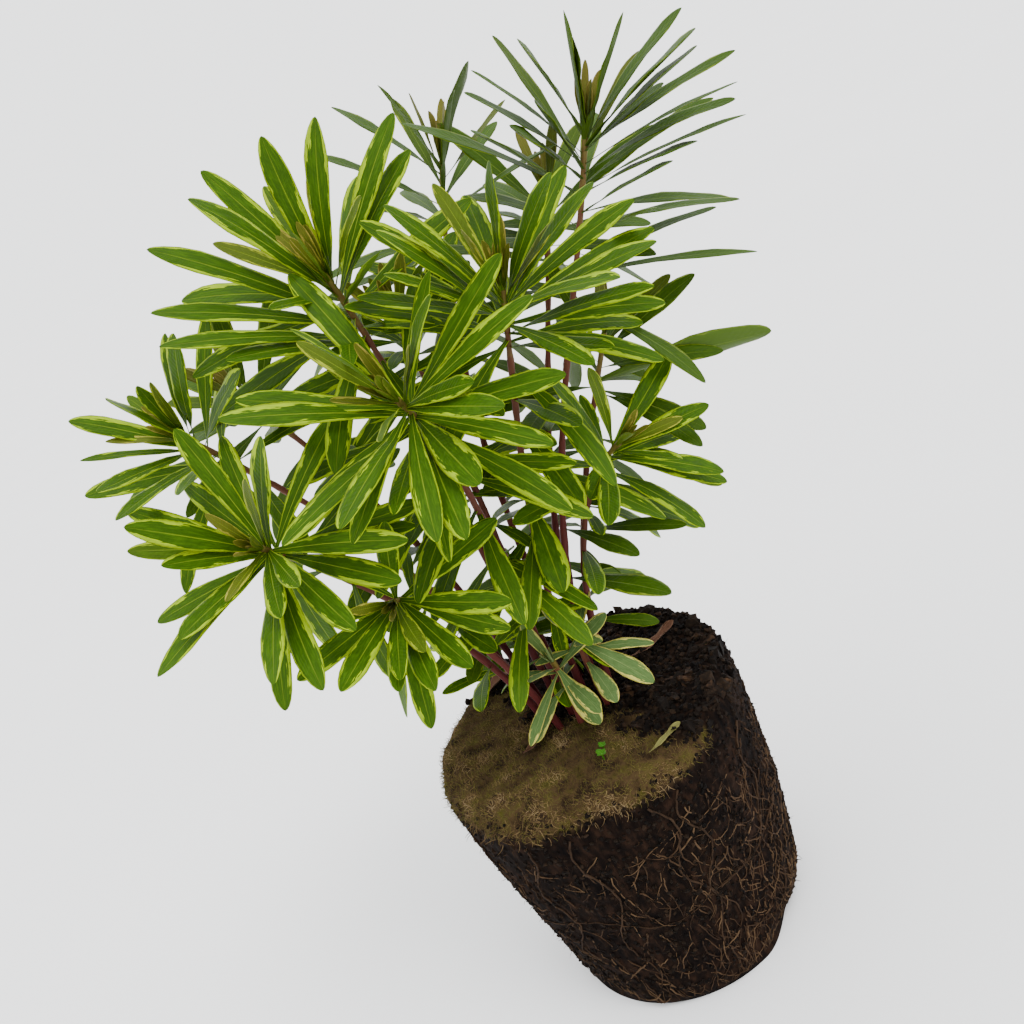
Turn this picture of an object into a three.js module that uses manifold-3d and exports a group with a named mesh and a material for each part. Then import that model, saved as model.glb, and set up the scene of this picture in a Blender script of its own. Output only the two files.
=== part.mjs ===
// A variegated euphorbia lifted out of its pot: leafy stems standing in a bare root ball.
// Millimetres, +Z up. The origin is the centre of the flat base that the root ball stands on,
// and the plant's fullest side faces -Y.

import * as THREE from "three";
import { mergeVertices } from "three/addons/utils/BufferGeometryUtils.js";
import Module from "manifold-3d";

const wasm = await Module();
wasm.setup();

// ---- Driving dimensions ----

// The soil kept the shape of the tapered nursery pot that it grew in.
const ROOT_BALL = {
  height: 135,
  topRadius: 77,
  baseRadius: 61.5,
  sides: 36,
  surfaceWander: 1.3, // how far the side swells and sinks
  topWander: 1.2, // how far the soil's top is from level
};

// Levels of the rings that shape the side, as [height, share of the tapered radius].
const SIDE_LEVELS = [
  [0, 0.985], [5, 1], [32, 1], [59, 1], [86, 1], [113, 1], [126, 0.985], [132.5, 0.94],
];

// Rings that shape the top, as [height, share of the top radius].
const TOP_LEVELS = [[135.5, 0.84], [135, 0.6], [136, 0.32]];

const ROOT_NET = {
  clearance: 0.7, // between the roots' flat backs and the soil
  halfWidth: 1.1,
  relief: 1.6,
  descending: 16,
  highest: 118,
  lowest: 7,
  steps: 9,
  circlingLevels: [58],
  circlingSteps: 36,
  weave: 4.5, // how far a root wanders to either side
  seed: 404,
};

const STEM = {
  sides: 5,
  depthInSoil: 22,
  baseRadius: 1.9,
  neckRadius: 1.3,
  holeClearance: 0.42,
  step: 24, // length between the rings of a stem
};

const BLADE = {
  keel: 0.9, // how far the rib stands out under the blade
  gapToOthers: 3.7, // kept between blades of different shoots
  gapToOwn: 2.2, // kept between the outer halves of blades on one shoot
  gapToSoil: 2.5,
};

// A leaf is narrow at its stalk and widest beyond the middle: [share of length, share of width].
const LEAF_OUTLINE = [[0, 0.2], [0.45, 0.84], [0.8, 0.95], [1, 0]];

// How far out from a stem's middle its leaves begin, as a share of its radius.
const STALK_START = 0.5;

// The youngest leaves of a shoot, folded together at its tip, are too small to stand apart.
const YOUNGEST_LEFT_OUT = 4;

// A leaf that would touch another is turned by one of these, in degrees round the stem and
// away from it. A leaf that fits in none of the places is left out.
const TURNS_ASIDE = [0, 9, -9, 18, -18, 27, -27];
const TILTS_ASIDE = [0, -7, 7, -14, 14];

// Each shoot rises from its base on the soil to its growing tip, which points along heading.
// whorl: length of the crowded head, which has whorlShare of the leaves, or 0.7 of them.
// leafy: length of stem that bears leaves.
// turn: where the first leaf points. open: angle of the outer whorl leaves to the stem.
// broad: how broad its leaves are beside the rule's own, which are 1.
// reaching: [distance from the tip, leaf tip x, y, z, half width, roll in degrees] of single
// leaves that stand out.
const SHOOTS = [
  { name: "leafy_stem_front", base: [-5, -10], tip: [-4, -50, 314], heading: [-0.22, -0.66, 0.72],
    leaves: 34, whorlShare: 0.6, leafLength: 64, broad: 0.92,
    whorl: 16, leafy: 165, turn: 22, open: 98, seed: 1,
    reaching: [[12, -62, -60, 341, 5.6], [16, 53, -74, 298, 5.6], [18, -6, -102, 272, 6],
      [8, -22, -90, 360, 5.2], [8, 55, -72, 328, 5.2], [6, 22, -92, 348, 5.2], [12, -42, -92, 294, 5.6],
      [48, 44, -56, 260, 4.8], [50, -28, -57, 264, 5], [58, -41, -52, 244, 5.8],
      [74, -39, -31, 224, 5.6], [102, 26, -37, 191, 4.4], [15, 7, -93, 284, 6.4],
      [18, -64, -76, 294, 5.4], [22, -24, -82, 286, 4.6], [6, 22, -83, 314, 4.6],
      [24, -60, -20, 298, 4.6]] },
  { name: "leafy_stem_low_left", base: [-15, -7], tip: [-77, -45, 288], heading: [-0.12, -0.8, 0.52],
    leaves: 21, leafLength: 62, broad: 0.92, whorl: 14, leafy: 105, turn: 63, open: 92, seed: 2,
    reaching: [[9, -107, -73, 326, 5], [14, -90, -92, 256, 5.2], [17, -35, -75, 260, 5.2],
      [7, -51, -75, 331, 5], [11, -57, -85, 256, 5.2], [12.5, -113, -75, 282, 5.2],
      [12, -105, -69, 307, 4.6], [16, -133, -20, 275, 4.4], [15, -78, -16, 220, 5.2],
      [5, -78, -79, 272, 4.8], [10, -98, 1, 316, 4.2], [8, -84, 3, 323, 4.6],
      [14, -13, -72, 281, 4.2]] },
  { name: "leafy_stem_centre", base: [4, -5], tip: [53, -25, 327], heading: [0.25, -0.4, 0.88],
    leaves: 31, whorlShare: 0.63, leafLength: 68, broad: 0.85,
    whorl: 24, leafy: 195, turn: 10, open: 98, seed: 3,
    reaching: [[16, 110, -22, 290, 5.4], [20, -4, -42, 352, 5.2], [6, 66, -52, 374, 5],
      [6, 84, -50, 360, 5], [8, 110, -42, 336, 5], [8, 26, -45, 377, 5], [62, 40, -39, 235, 5.8],
      [97, 17, -37, 206, 6.2], [112, -20, -18, 204, 5.6], [148, 3, -14, 167, 3.3],
      [8, 94, -61, 351, 5], [14, 103, -72, 324, 5.2], [20, 95, -75, 311, 4.8], [26, 74, -69, 297, 4.2],
      [14, 19, -52, 371, 5], [12, 14, -55, 357, 3.4], [50, 52, -57, 273, 5.4]] },
  { name: "leafy_stem_upper_left", base: [-8, 4], tip: [-5, -15, 363], heading: [-0.1, -0.35, 0.93],
    leaves: 31, leafLength: 68, broad: 0.95, whorl: 32, leafy: 140, turn: 80, open: 104, seed: 4,
    reaching: [[22, -57, -20, 402, 5.2], [10, 47, -12, 403, 5.2], [6, 19, -35, 414, 5],
      [8, -1, -28, 417, 5], [12, -26, -12, 417, 4.8],
      [12, -33, -40, 410, 5.4], [26, -67, -28, 382, 4.6], [32, -69, -40, 371, 4.2],
      [34, -52, -34, 355, 4.4]] },
  { name: "leafy_stem_far_left", base: [-17, 7], tip: [-89, 5, 332], heading: [-0.45, -0.25, 0.85],
    leaves: 16, leafLength: 56, broad: 0.75, whorl: 26, leafy: 85, turn: 140, open: 104, seed: 5,
    reaching: [[14, -122, 0, 360, 4], [24, -134, -10, 327, 4.8], [8, -98, -32, 363, 4.4],
      [6, -66, -20, 371, 4.4], [10, -51, -25, 348, 4.4], [182, -52, 3, 172, 2.4],
      [16, -117, -42, 324, 3.4], [12, -121, -22, 347, 2], [4, -70, -12, 372, 3.4],
      [4, -90, -12, 360, 3]] },
  { name: "leafy_stem_tall_right", base: [11, -4], tip: [119, 15, 362], heading: [0.45, -0.05, 0.88],
    leaves: 16, leafLength: 70, broad: 0.6, whorl: 55, leafy: 150, turn: 200, open: 96, seed: 6,
    reaching: [[60, 168, 18, 280, 2.4], [22, 176, 20, 348, 3.2],
      [4, 168, -5, 387, 3.6], [8, 182, -5, 363, 3.2], [3, 103, -10, 405, 4],
      [172, 57, -18, 195, 4], [195, 62, -28, 177, 4.6], [3, 123, -9, 396, 5], [4, 130, -22, 401, 5.2],
      [5, 136, -25, 398, 3.4], [7, 159, -34, 379, 4.4], [9, 159, -29, 373, 4], [9, 144, -11, 368, 4.2],
      [14, 162, -45, 356, 2.2], [24, 161, -44, 344, 2.2], [26, 145, -30, 342, 3],
      [34, 135, -24, 339, 3], [40, 147, -43, 317, 2.8], [56, 138, -31, 319, 3],
      [20, 87, -6, 378, 4.8], [16, 100, -6, 382, 4.4], [10, 83, -4, 403, 2.2],
      [14, 77, -3, 397, 3.4], [26, 49, -9, 398, 3.6]] },
  { name: "leafy_stem_tall_back", base: [7, 14], tip: [65, 60, 376], heading: [0.45, 0.05, 0.88],
    leaves: 22, leafLength: 64, broad: 0.62, whorl: 45, leafy: 95, turn: 30, open: 96, seed: 7,
    reaching: [[2, 86, 14, 407, 4], [6, 32, 50, 417, 3.6], [4, 51, 22, 415, 3.8]] },
  { name: "leafy_stem_under_front", base: [-11, -15], tip: [-44, -50, 244], heading: [-0.1, -0.9, 0.25],
    leaves: 13, leafLength: 52, broad: 1.1, whorl: 12, leafy: 40, turn: 100, open: 85, seed: 8,
    reaching: [[6, -72, -90, 240, 5], [8, -43, -92, 223, 5], [8, -28, -82, 219, 5],
      [50, -19, -46, 202, 4.2], [7, -60, -88, 234, 4.2], [9, -55, -88, 228, 4.4]] },
  { name: "leafy_stem_low_right", base: [16, -8], tip: [70, -12, 243], heading: [0.55, -0.6, 0.4],
    leaves: 19, leafLength: 50, broad: 1.15, whorl: 18, leafy: 80, turn: 160, open: 90, seed: 9,
    reaching: [[30, 88, 0, 184, 5.6], [10, 103, -22, 207, 5], [8, 111, -16, 240, 4.6],
      [8, 46, -30, 234, 5], [40, 44, -23, 214, 3.4]] },
  { name: "leafy_stem_middle", base: [-2, 7], tip: [11, 0, 333], heading: [0, -0.3, 1],
    leaves: 33, leafLength: 58, whorl: 26, leafy: 160, turn: 0, open: 98, seed: 10,
    reaching: [[138, -15, -5, 168, 4.6], [120, 8, -31, 232, 6]] },
  { name: "leafy_stem_back_right", base: [12, 9], tip: [99, 45, 345], heading: [0.4, 0, 0.95],
    leaves: 15, leafLength: 60, broad: 0.8, whorl: 26, leafy: 100, turn: 90, open: 95, seed: 11,
    reaching: [[172, 59, 0, 169, 5.4]] },
  { name: "leafy_stem_back_left", base: [-15, 16], tip: [-65, 40, 331], heading: [-0.4, 0.1, 0.9],
    leaves: 21, leafLength: 58, broad: 0.85, whorl: 20, leafy: 75, turn: 70, open: 92, seed: 12,
    reaching: [[165, -30, 5, 154, 4.6]] },
  { name: "leafy_stem_right", base: [17, 4], tip: [91, 22, 280], heading: [0.5, -0.1, 0.8],
    leaves: 19, leafLength: 58, broad: 0.9, whorl: 26, leafy: 115, turn: 50, open: 92, seed: 13,
    reaching: [[22, 158, 12, 246, 7.6, -50], [48, 106, 2, 196, 5], [26, 110, 2, 224, 5],
      [92, 87, -12, 192, 3.4], [135, 51, -2, 152, 3]] },
  { name: "leafy_stem_young_front", base: [-4, -20], tip: [-1, -22, 172], heading: [-0.1, -0.4, 0.9],
    leaves: 8, leafLength: 34, broad: 1.4, whorl: 12, leafy: 20, turn: 50, open: 100, seed: 14,
    reaching: [[6, 4, -42, 145, 5], [8, -27, -32, 146, 3]] },
  { name: "leafy_stem_young_right", base: [12, -18], tip: [14, -19, 177], heading: [0.1, -0.3, 0.9],
    leaves: 8, leafLength: 34, broad: 1.4, whorl: 12, leafy: 20, turn: 90, open: 100, seed: 15,
    reaching: [[6, 33, -39, 148, 5.2], [3, 22, -28, 172, 2.8]] },
];

// Fallen leaves that lie on the soil: centre, direction in degrees, length, half width.
const FALLEN_LEAVES = [
  { name: "fallen_leaf_front", centre: [-26, -16], direction: 30, length: 16, halfWidth: 2.8 },
  { name: "fallen_leaf_side", centre: [25, -62], direction: 25, length: 20, halfWidth: 2 },
  { name: "fallen_leaf_right", centre: [46, 9], direction: 20, length: 30, halfWidth: 3.2 },
  { name: "fallen_leaf_back", centre: [-33, 49], direction: 38, length: 30, halfWidth: 4.6 },
];
const FALLEN_GAP = 0.3;

const GOLDEN_ANGLE = 137.508;
const MERGE_DISTANCE = 0.0005;
const UP = new THREE.Vector3(0, 0, 1);

const MATERIALS = {
  leaf: new THREE.MeshStandardMaterial({ color: "#4a7a25", roughness: 0.5, metalness: 0 }),
  soil: new THREE.MeshStandardMaterial({ color: "#2a1e16", roughness: 0.95, metalness: 0 }),
  root: new THREE.MeshStandardMaterial({ color: "#7b6a45", roughness: 0.85, metalness: 0 }),
  litter: new THREE.MeshStandardMaterial({ color: "#7a4a30", roughness: 0.8, metalness: 0 }),
};

const radians = THREE.MathUtils.degToRad;
const { clamp, lerp } = THREE.MathUtils;
const vector = (values) => new THREE.Vector3(...values);

/** Repeatable draws from -1 to 1. */
function randomDraws(seed) {
  let state = seed;
  return () => {
    state = (state + 0x6d2b79f5) >>> 0;
    let mixed = Math.imul(state ^ (state >>> 15), state | 1);
    mixed ^= mixed + Math.imul(mixed ^ (mixed >>> 7), mixed | 61);
    return (((mixed ^ (mixed >>> 14)) >>> 0) / 4294967296) * 2 - 1;
  };
}

// ---- Solids ----

/**
 * Closed geometry through rings of points, each ring anticlockwise seen from the far end.
 * A ring of one point makes a tip. The side that closes a ring is split the other way from
 * the rest, so that the upper and lower faces of a blade are split alike.
 */
function loft(rings) {
  const starts = [];
  const points = [];
  for (const ring of rings) {
    starts.push(points.length);
    points.push(...ring);
  }
  const corner = (ring, side) => starts[ring] + (side % rings[ring].length);
  const faces = [];
  for (let ring = 0; ring + 1 < rings.length; ring += 1) {
    const sides = Math.max(rings[ring].length, rings[ring + 1].length);
    for (let side = 0; side < sides; side += 1) {
      const a = corner(ring, side);
      const b = corner(ring, side + 1);
      const c = corner(ring + 1, side + 1);
      const d = corner(ring + 1, side);
      const split = side === sides - 1 ? [[a, b, d], [b, c, d]] : [[a, b, c], [a, c, d]];
      faces.push(...split.filter(([i, j, k]) => i !== j && j !== k && k !== i));
    }
  }
  for (let side = 1; side + 1 < rings[0].length; side += 1) {
    faces.push([corner(0, 0), corner(0, side + 1), corner(0, side)]);
  }
  const last = rings.length - 1;
  for (let side = 1; side + 1 < rings[last].length; side += 1) {
    faces.push([corner(last, 0), corner(last, side), corner(last, side + 1)]);
  }
  const geometry = new THREE.BufferGeometry().setFromPoints(points);
  geometry.setIndex(faces.flat());
  return geometry;
}

function solidOf(geometry) {
  const vertProperties = Float32Array.from(geometry.attributes.position.array);
  const triVerts = Uint32Array.from(geometry.index.array);
  return new wasm.Manifold(new wasm.Mesh({ numProp: 3, vertProperties, triVerts }));
}

/** Geometry of a solid's largest body: a scrap or a sealed hollow is another body. */
function geometryOf(solid) {
  const bodies = solid.decompose().sort((one, other) => other.volume() - one.volume());
  const mesh = bodies[0].getMesh();
  const geometry = new THREE.BufferGeometry();
  geometry.setAttribute("position", new THREE.BufferAttribute(Float32Array.from(mesh.vertProperties), 3));
  geometry.setIndex(Array.from(mesh.triVerts));
  return withoutSlivers(geometry);
}

/** The same faces with every corner on a fine grid, so that no two nearly meet. */
function withoutSlivers(geometry) {
  const places = geometry.attributes.position.array;
  places.forEach((value, i) => {
    places[i] = Math.round(value / MERGE_DISTANCE) * MERGE_DISTANCE;
  });
  const merged = mergeVertices(geometry, MERGE_DISTANCE / 2);
  const corners = Array.from(merged.index.array);
  const faces = [];
  for (let first = 0; first < corners.length; first += 3) faces.push(corners.slice(first, first + 3));
  merged.setIndex(faces.filter(([a, b, c]) => a !== b && b !== c && c !== a).flat());
  return merged;
}

function named(name, geometry, material) {
  geometry.computeVertexNormals();
  const mesh = new THREE.Mesh(geometry, material);
  mesh.name = name;
  return mesh;
}

// ---- Root ball ----

/** Radius of the plain taper at a height, before the side's swells. */
function taperedRadius(z) {
  return lerp(ROOT_BALL.baseRadius, ROOT_BALL.topRadius, clamp(z / ROOT_BALL.height, 0, 1));
}

/** How far the side stands out at an angle round the ball and a height. */
function sideSwell(angle, z) {
  const waves = Math.sin(3 * angle + 0.7 + z / 40) + 0.7 * Math.sin(5 * angle - 1.1 - z / 26)
    + 0.5 * Math.sin(8 * angle + z / 17);
  return (ROOT_BALL.surfaceWander * waves) / 1.4;
}

/** Height of the soil's top at a place on it, above its ring's own level. */
function topSwell(x, y) {
  return ROOT_BALL.topWander * (Math.sin(x / 15 + 0.4) * Math.cos(y / 19) + 0.4 * Math.sin(y / 9));
}

function ringPoint(share, z, side) {
  const angle = (side / ROOT_BALL.sides) * 2 * Math.PI;
  const swell = z > 0 ? sideSwell(angle, z) : 0;
  const radius = share * (taperedRadius(z) + swell);
  return new THREE.Vector3(radius * Math.cos(angle), radius * Math.sin(angle), z);
}

function ballRing([z, share]) {
  return Array.from({ length: ROOT_BALL.sides }, (_, side) => ringPoint(share, z, side));
}

function topRing(level) {
  return ballRing(level).map((point) => point.setZ(point.z + topSwell(point.x, point.y)));
}

function soilSolid() {
  const base = [new THREE.Vector3(0, 0, 0)];
  const crown = [new THREE.Vector3(0, 0, TOP_LEVELS.at(-1)[0])];
  return solidOf(loft([base, ...SIDE_LEVELS.map(ballRing), ...TOP_LEVELS.map(topRing), crown]));
}

/** Level of the soil's top at a place well inside its rim. */
function soilTop(x, y) {
  const share = Math.hypot(x, y) / ROOT_BALL.topRadius;
  const ringsOutside = TOP_LEVELS.filter(([, ringShare]) => ringShare > share).length;
  const inner = clamp(ringsOutside, 1, TOP_LEVELS.length - 1);
  const [outerRing, innerRing] = [TOP_LEVELS[inner - 1], TOP_LEVELS[inner]];
  const ringLevel = ([level, ringShare]) => level + topSwell(...[x, y].map((c) => (c * ringShare) / share));
  const part = clamp((share - innerRing[1]) / (outerRing[1] - innerRing[1]), 0, 1);
  return lerp(ringLevel(innerRing), ringLevel(outerRing), part);
}

/** The soil, with a plain hole for each stem. */
function rootBall(stems) {
  const soil = stems.reduce((ball, stem) => ball.subtract(stemHole(stem)), soilSolid());
  return named("rootball", geometryOf(soil), MATERIALS.soil);
}

// ---- Root net ----

/** Radius of the faceted side at an angle and height, between the corners of its grid. */
function sideRadius(angle, z) {
  const above = SIDE_LEVELS.findIndex(([level]) => level >= z);
  const [low, high] = [SIDE_LEVELS[above - 1], SIDE_LEVELS[above]];
  const turns = (angle / (2 * Math.PI)) * ROOT_BALL.sides;
  const side = Math.floor(turns);
  const cornerRadius = (level, share, corner) => ringPoint(share, level, corner).setZ(0).length();
  const across = ([level, share]) => lerp(
    cornerRadius(level, share, side),
    cornerRadius(level, share, side + 1),
    turns - side,
  );
  return lerp(across(low), across(high), (z - low[0]) / (high[0] - low[0]));
}

/** A root along points of [angle, height] on the side: a low ridge with a flat back. */
function rootAlong(places) {
  const backs = places.map(([angle, z]) => {
    const radius = sideRadius(angle, z) + ROOT_NET.clearance;
    return new THREE.Vector3(radius * Math.cos(angle), radius * Math.sin(angle), z);
  });
  return backs.map((back, i) => {
    const before = backs[Math.max(i - 1, 0)];
    const after = backs[Math.min(i + 1, backs.length - 1)];
    const outward = new THREE.Vector3(back.x, back.y, 0).normalize();
    const along = after.clone().sub(before).normalize();
    const aside = new THREE.Vector3().crossVectors(outward, along).normalize();
    return [
      back.clone().addScaledVector(aside, ROOT_NET.halfWidth),
      back.clone().addScaledVector(outward, ROOT_NET.relief),
      back.clone().addScaledVector(aside, -ROOT_NET.halfWidth),
    ];
  });
}

function descendingRoot(index, draw) {
  const start = ((index + 0.35 * draw()) / ROOT_NET.descending) * 2 * Math.PI;
  const slant = 0.16 * draw();
  const phase = Math.PI * draw();
  const waveLength = 48 + 12 * draw();
  const end = ROOT_NET.lowest + 4 * (1 + draw());
  const places = Array.from({ length: ROOT_NET.steps + 1 }, (_, i) => {
    const down = i / ROOT_NET.steps;
    const z = lerp(ROOT_NET.highest, end, down);
    const weave = (ROOT_NET.weave * Math.sin((2 * Math.PI * z) / waveLength + phase)) / taperedRadius(z);
    return [start + slant * down + weave, z];
  });
  return solidOf(loft(rootAlong(places)));
}

/** A root that circles the ball once, climbs a little, and grows across its own start. */
function circlingRoot(level, draw) {
  const phase = Math.PI * draw();
  const places = Array.from({ length: ROOT_NET.circlingSteps + 3 }, (_, i) => {
    const angle = (i / ROOT_NET.circlingSteps) * 2 * Math.PI;
    const wave = Math.sin(3 * angle + phase) + 0.5 * Math.sin(7 * angle - phase);
    return [angle + phase, level + ROOT_NET.weave * wave + ROOT_NET.halfWidth * (angle / (2 * Math.PI))];
  });
  return solidOf(loft(rootAlong(places)));
}

function rootNet() {
  const draw = randomDraws(ROOT_NET.seed);
  const roots = Array.from({ length: ROOT_NET.descending }, (_, index) => descendingRoot(index, draw));
  roots.push(...ROOT_NET.circlingLevels.map((level) => circlingRoot(level, draw)));
  const net = roots.reduce((joined, root) => joined.add(root));
  return named("root_net", geometryOf(net), MATERIALS.root);
}

// ---- Stems ----

/** The line that a shoot's stem grows along, from its foot in the soil to its tip. */
function stemOf(shoot) {
  const foot = new THREE.Vector3(...shoot.base, ROOT_BALL.height - STEM.depthInSoil);
  const tip = vector(shoot.tip);
  const reach = tip.distanceTo(foot);
  const heading = vector(shoot.heading).normalize();
  const rising = foot.clone().addScaledVector(UP, 0.4 * reach);
  const arriving = tip.clone().addScaledVector(heading, -0.35 * reach);
  const curve = new THREE.CubicBezierCurve3(foot, rising, arriving, tip);
  return { shoot, curve, length: curve.getLength() };
}

/** Place, direction and the two directions across a stem, at a distance from its tip. */
function stemFrame(stem, fromTip) {
  const share = clamp(1 - fromTip / stem.length, 0, 1);
  const along = stem.curve.getTangentAt(share);
  const front = new THREE.Vector3(1, 0, 0).cross(along).normalize();
  const aside = along.clone().cross(front);
  return { place: stem.curve.getPointAt(share), along, front, aside };
}

const stemRadius = (stem, fromTip) => lerp(STEM.neckRadius, STEM.baseRadius, fromTip / stem.length);

function stemRing(frame, radius) {
  return Array.from({ length: STEM.sides }, (_, side) => {
    const angle = (side / STEM.sides) * 2 * Math.PI;
    return frame.place.clone()
      .addScaledVector(frame.front, radius * Math.cos(angle))
      .addScaledVector(frame.aside, radius * Math.sin(angle));
  });
}

function stemDistances(stem) {
  const steps = Math.ceil(stem.length / STEM.step);
  return Array.from({ length: steps + 1 }, (_, i) => stem.length * (1 - i / steps));
}

function stemSolid(stem) {
  const rings = stemDistances(stem)
    .map((fromTip) => stemRing(stemFrame(stem, fromTip), stemRadius(stem, fromTip)));
  const { place, along } = stemFrame(stem, 0);
  return solidOf(loft([...rings, [place.addScaledVector(along, STEM.neckRadius)]]));
}

/** What is cut from the soil for a stem: the same tube, wider by the clearance. */
function stemHole(stem) {
  const distances = stemDistances(stem).slice(0, 3);
  const rings = distances.map((fromTip, i) => {
    const frame = stemFrame(stem, fromTip);
    if (i === 0) frame.place.addScaledVector(frame.along, -STEM.holeClearance);
    return stemRing(frame, stemRadius(stem, fromTip) + STEM.holeClearance);
  });
  return solidOf(loft(rings));
}

// ---- Leaves ----

/**
 * The rule that every leaf follows: where the leaf numbered count sits on its shoot and how it
 * stands. The youngest stand up close round the tip. Outwards they lengthen, spread and bend
 * back, and below the whorl they are wider apart, shorter and broader.
 */
function leafPlan(shoot, count, draws) {
  const whorlLeaves = Math.round((shoot.whorlShare ?? 0.7) * shoot.leaves);
  const age = Math.min(1, count / whorlLeaves);
  const low = Math.max(0, (count - whorlLeaves) / (shoot.leaves - whorlLeaves));
  const grown = 0.4 + 0.6 * Math.min(1, age / 0.38);
  const length = shoot.leafLength * grown * (1 + 0.07 * draws[2]) * (1 - 0.28 * low);
  const broad = shoot.broad ?? 1;
  return {
    fromTip: 1.5 + shoot.whorl * age ** 1.2 + (shoot.leafy - shoot.whorl) * low ** 1.1,
    turn: shoot.turn + count * GOLDEN_ANGLE + 9 * draws[0],
    tilt: 8 + (shoot.open - 8) * age ** 0.75 + 10 * low + 6 * draws[1],
    bend: 4 + 16 * age + 14 * low + 10 * draws[4],
    length,
    halfWidth: length * broad * (0.076 + 0.008 * Math.min(1, age / 0.4) + 0.03 * low + 0.005 * draws[3]),
    fold: 0.2 - 0.1 * age,
    roll: 0,
    twist: 0.35 * draws[5],
    sweep: 0.05 * draws[3],
  };
}

/** A single leaf that reaches from its stem to a given tip. */
function reachingLeaf(stem, [fromTip, x, y, z, halfWidth, roll = 0]) {
  const { place, along, front, aside } = stemFrame(stem, fromTip);
  const chord = new THREE.Vector3(x, y, z).sub(place);
  const bend = 12;
  const halfBend = radians(bend / 2);
  return {
    fromTip,
    turn: THREE.MathUtils.radToDeg(Math.atan2(chord.dot(aside), chord.dot(front))),
    tilt: THREE.MathUtils.radToDeg(along.angleTo(chord)) - bend / 2,
    bend,
    length: (chord.length() * halfBend) / Math.sin(halfBend),
    halfWidth,
    fold: 0.12,
    roll,
    twist: 0,
    sweep: 0,
  };
}

/** Sections of a blade whose rib is an arc: its middle, edges and the rib under it. */
function bladeSections(stem, plan) {
  const { place, along, front, aside } = stemFrame(stem, plan.fromTip);
  const turn = radians(plan.turn);
  const outward = front.clone().multiplyScalar(Math.cos(turn)).addScaledVector(aside, Math.sin(turn));
  const across = along.clone().cross(outward);
  const tilt = radians(plan.tilt);
  const bend = radians(plan.bend);
  const rooted = place.addScaledVector(outward, STALK_START * stemRadius(stem, plan.fromTip));
  return LEAF_OUTLINE.map(([share, width]) => {
    const angle = tilt + bend * share;
    const rise = (Math.sin(angle) - Math.sin(tilt)) / bend;
    const run = (Math.cos(tilt) - Math.cos(angle)) / bend;
    const middle = rooted.clone()
      .addScaledVector(along, rise * plan.length)
      .addScaledVector(outward, run * plan.length)
      .addScaledVector(across, plan.sweep * plan.length * share ** 2);
    const face = along.clone().multiplyScalar(Math.sin(angle)).addScaledVector(outward, -Math.cos(angle));
    const twist = radians(plan.roll) + plan.twist * share;
    const side = across.clone().multiplyScalar(Math.cos(twist)).addScaledVector(face, Math.sin(twist));
    const upper = face.clone().multiplyScalar(Math.cos(twist)).addScaledVector(across, -Math.sin(twist));
    return { share, middle, side, upper, half: plan.halfWidth * width, fold: plan.fold };
  });
}

function edgePoint(section, offset) {
  return section.middle.clone()
    .addScaledVector(section.side, offset * section.half * Math.cos(section.fold))
    .addScaledVector(section.upper, Math.abs(offset) * section.half * Math.sin(section.fold));
}

function bladeRing(section) {
  if (section.half === 0) return [section.middle];
  const rib = section.middle.clone().addScaledVector(section.upper, -BLADE.keel);
  return [edgePoint(section, -1), rib, edgePoint(section, 1)];
}

const bladeSolid = (sections) => solidOf(loft(sections.map(bladeRing)));

/** Points spread over a blade beyond its stalk, each marked as outer or not. */
function bladeSamples(sections) {
  const samples = [];
  const firstShare = 0.12;
  const rows = 16;
  for (let row = 0; row < rows; row += 1) {
    const share = lerp(firstShare, 1, row / (rows - 1));
    const next = Math.max(1, sections.findIndex((section) => section.share >= share - 1e-9));
    const [before, after] = [sections[next - 1], sections[next]];
    const part = (share - before.share) / (after.share - before.share);
    for (const offset of [-1, -0.5, 0, 0.5, 1]) {
      const point = edgePoint(before, offset).lerp(edgePoint(after, offset), part);
      samples.push({ point, outer: share > 0.5 });
    }
  }
  return samples;
}

// ---- Room between shoots ----

/** Remembers the space that stems and leaves take up, in cells. */
class Thicket {
  constructor(cell) {
    this.cell = cell;
    this.cells = new Map();
  }

  index(point) {
    return [point.x, point.y, point.z].map((value) => Math.floor(value / this.cell));
  }

  add(entry) {
    const key = this.index(entry.point).join();
    if (!this.cells.has(key)) this.cells.set(key, []);
    this.cells.get(key).push(entry);
  }

  * near(point) {
    const [x, y, z] = this.index(point);
    for (let i = x - 1; i <= x + 1; i += 1) {
      for (let j = y - 1; j <= y + 1; j += 1) {
        for (let k = z - 1; k <= z + 1; k += 1) yield* this.cells.get([i, j, k].join()) ?? [];
      }
    }
  }

  /** Whether a blade's points come too close to anything that isn't part of its own growth. */
  blocks(samples, owner) {
    return samples.some(({ point, outer }) => {
      for (const other of this.near(point)) {
        const own = other.owner === owner;
        const gap = own ? BLADE.gapToOwn : BLADE.gapToOthers + other.radius;
        if ((!own || (outer && other.outer)) && other.point.distanceTo(point) < gap) return true;
      }
      return false;
    });
  }
}

const touchesSoil = ({ point }) => Math.hypot(point.x, point.y) < ROOT_BALL.topRadius + BLADE.gapToOthers
  && point.z < ROOT_BALL.height + BLADE.gapToSoil;

function addStemTo(thicket, stem) {
  const spacing = 3;
  for (let fromTip = 0; fromTip < stem.length; fromTip += spacing) {
    const { place } = stemFrame(stem, fromTip);
    thicket.add({ point: place, radius: stemRadius(stem, fromTip), owner: stem, outer: false });
  }
}

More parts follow.
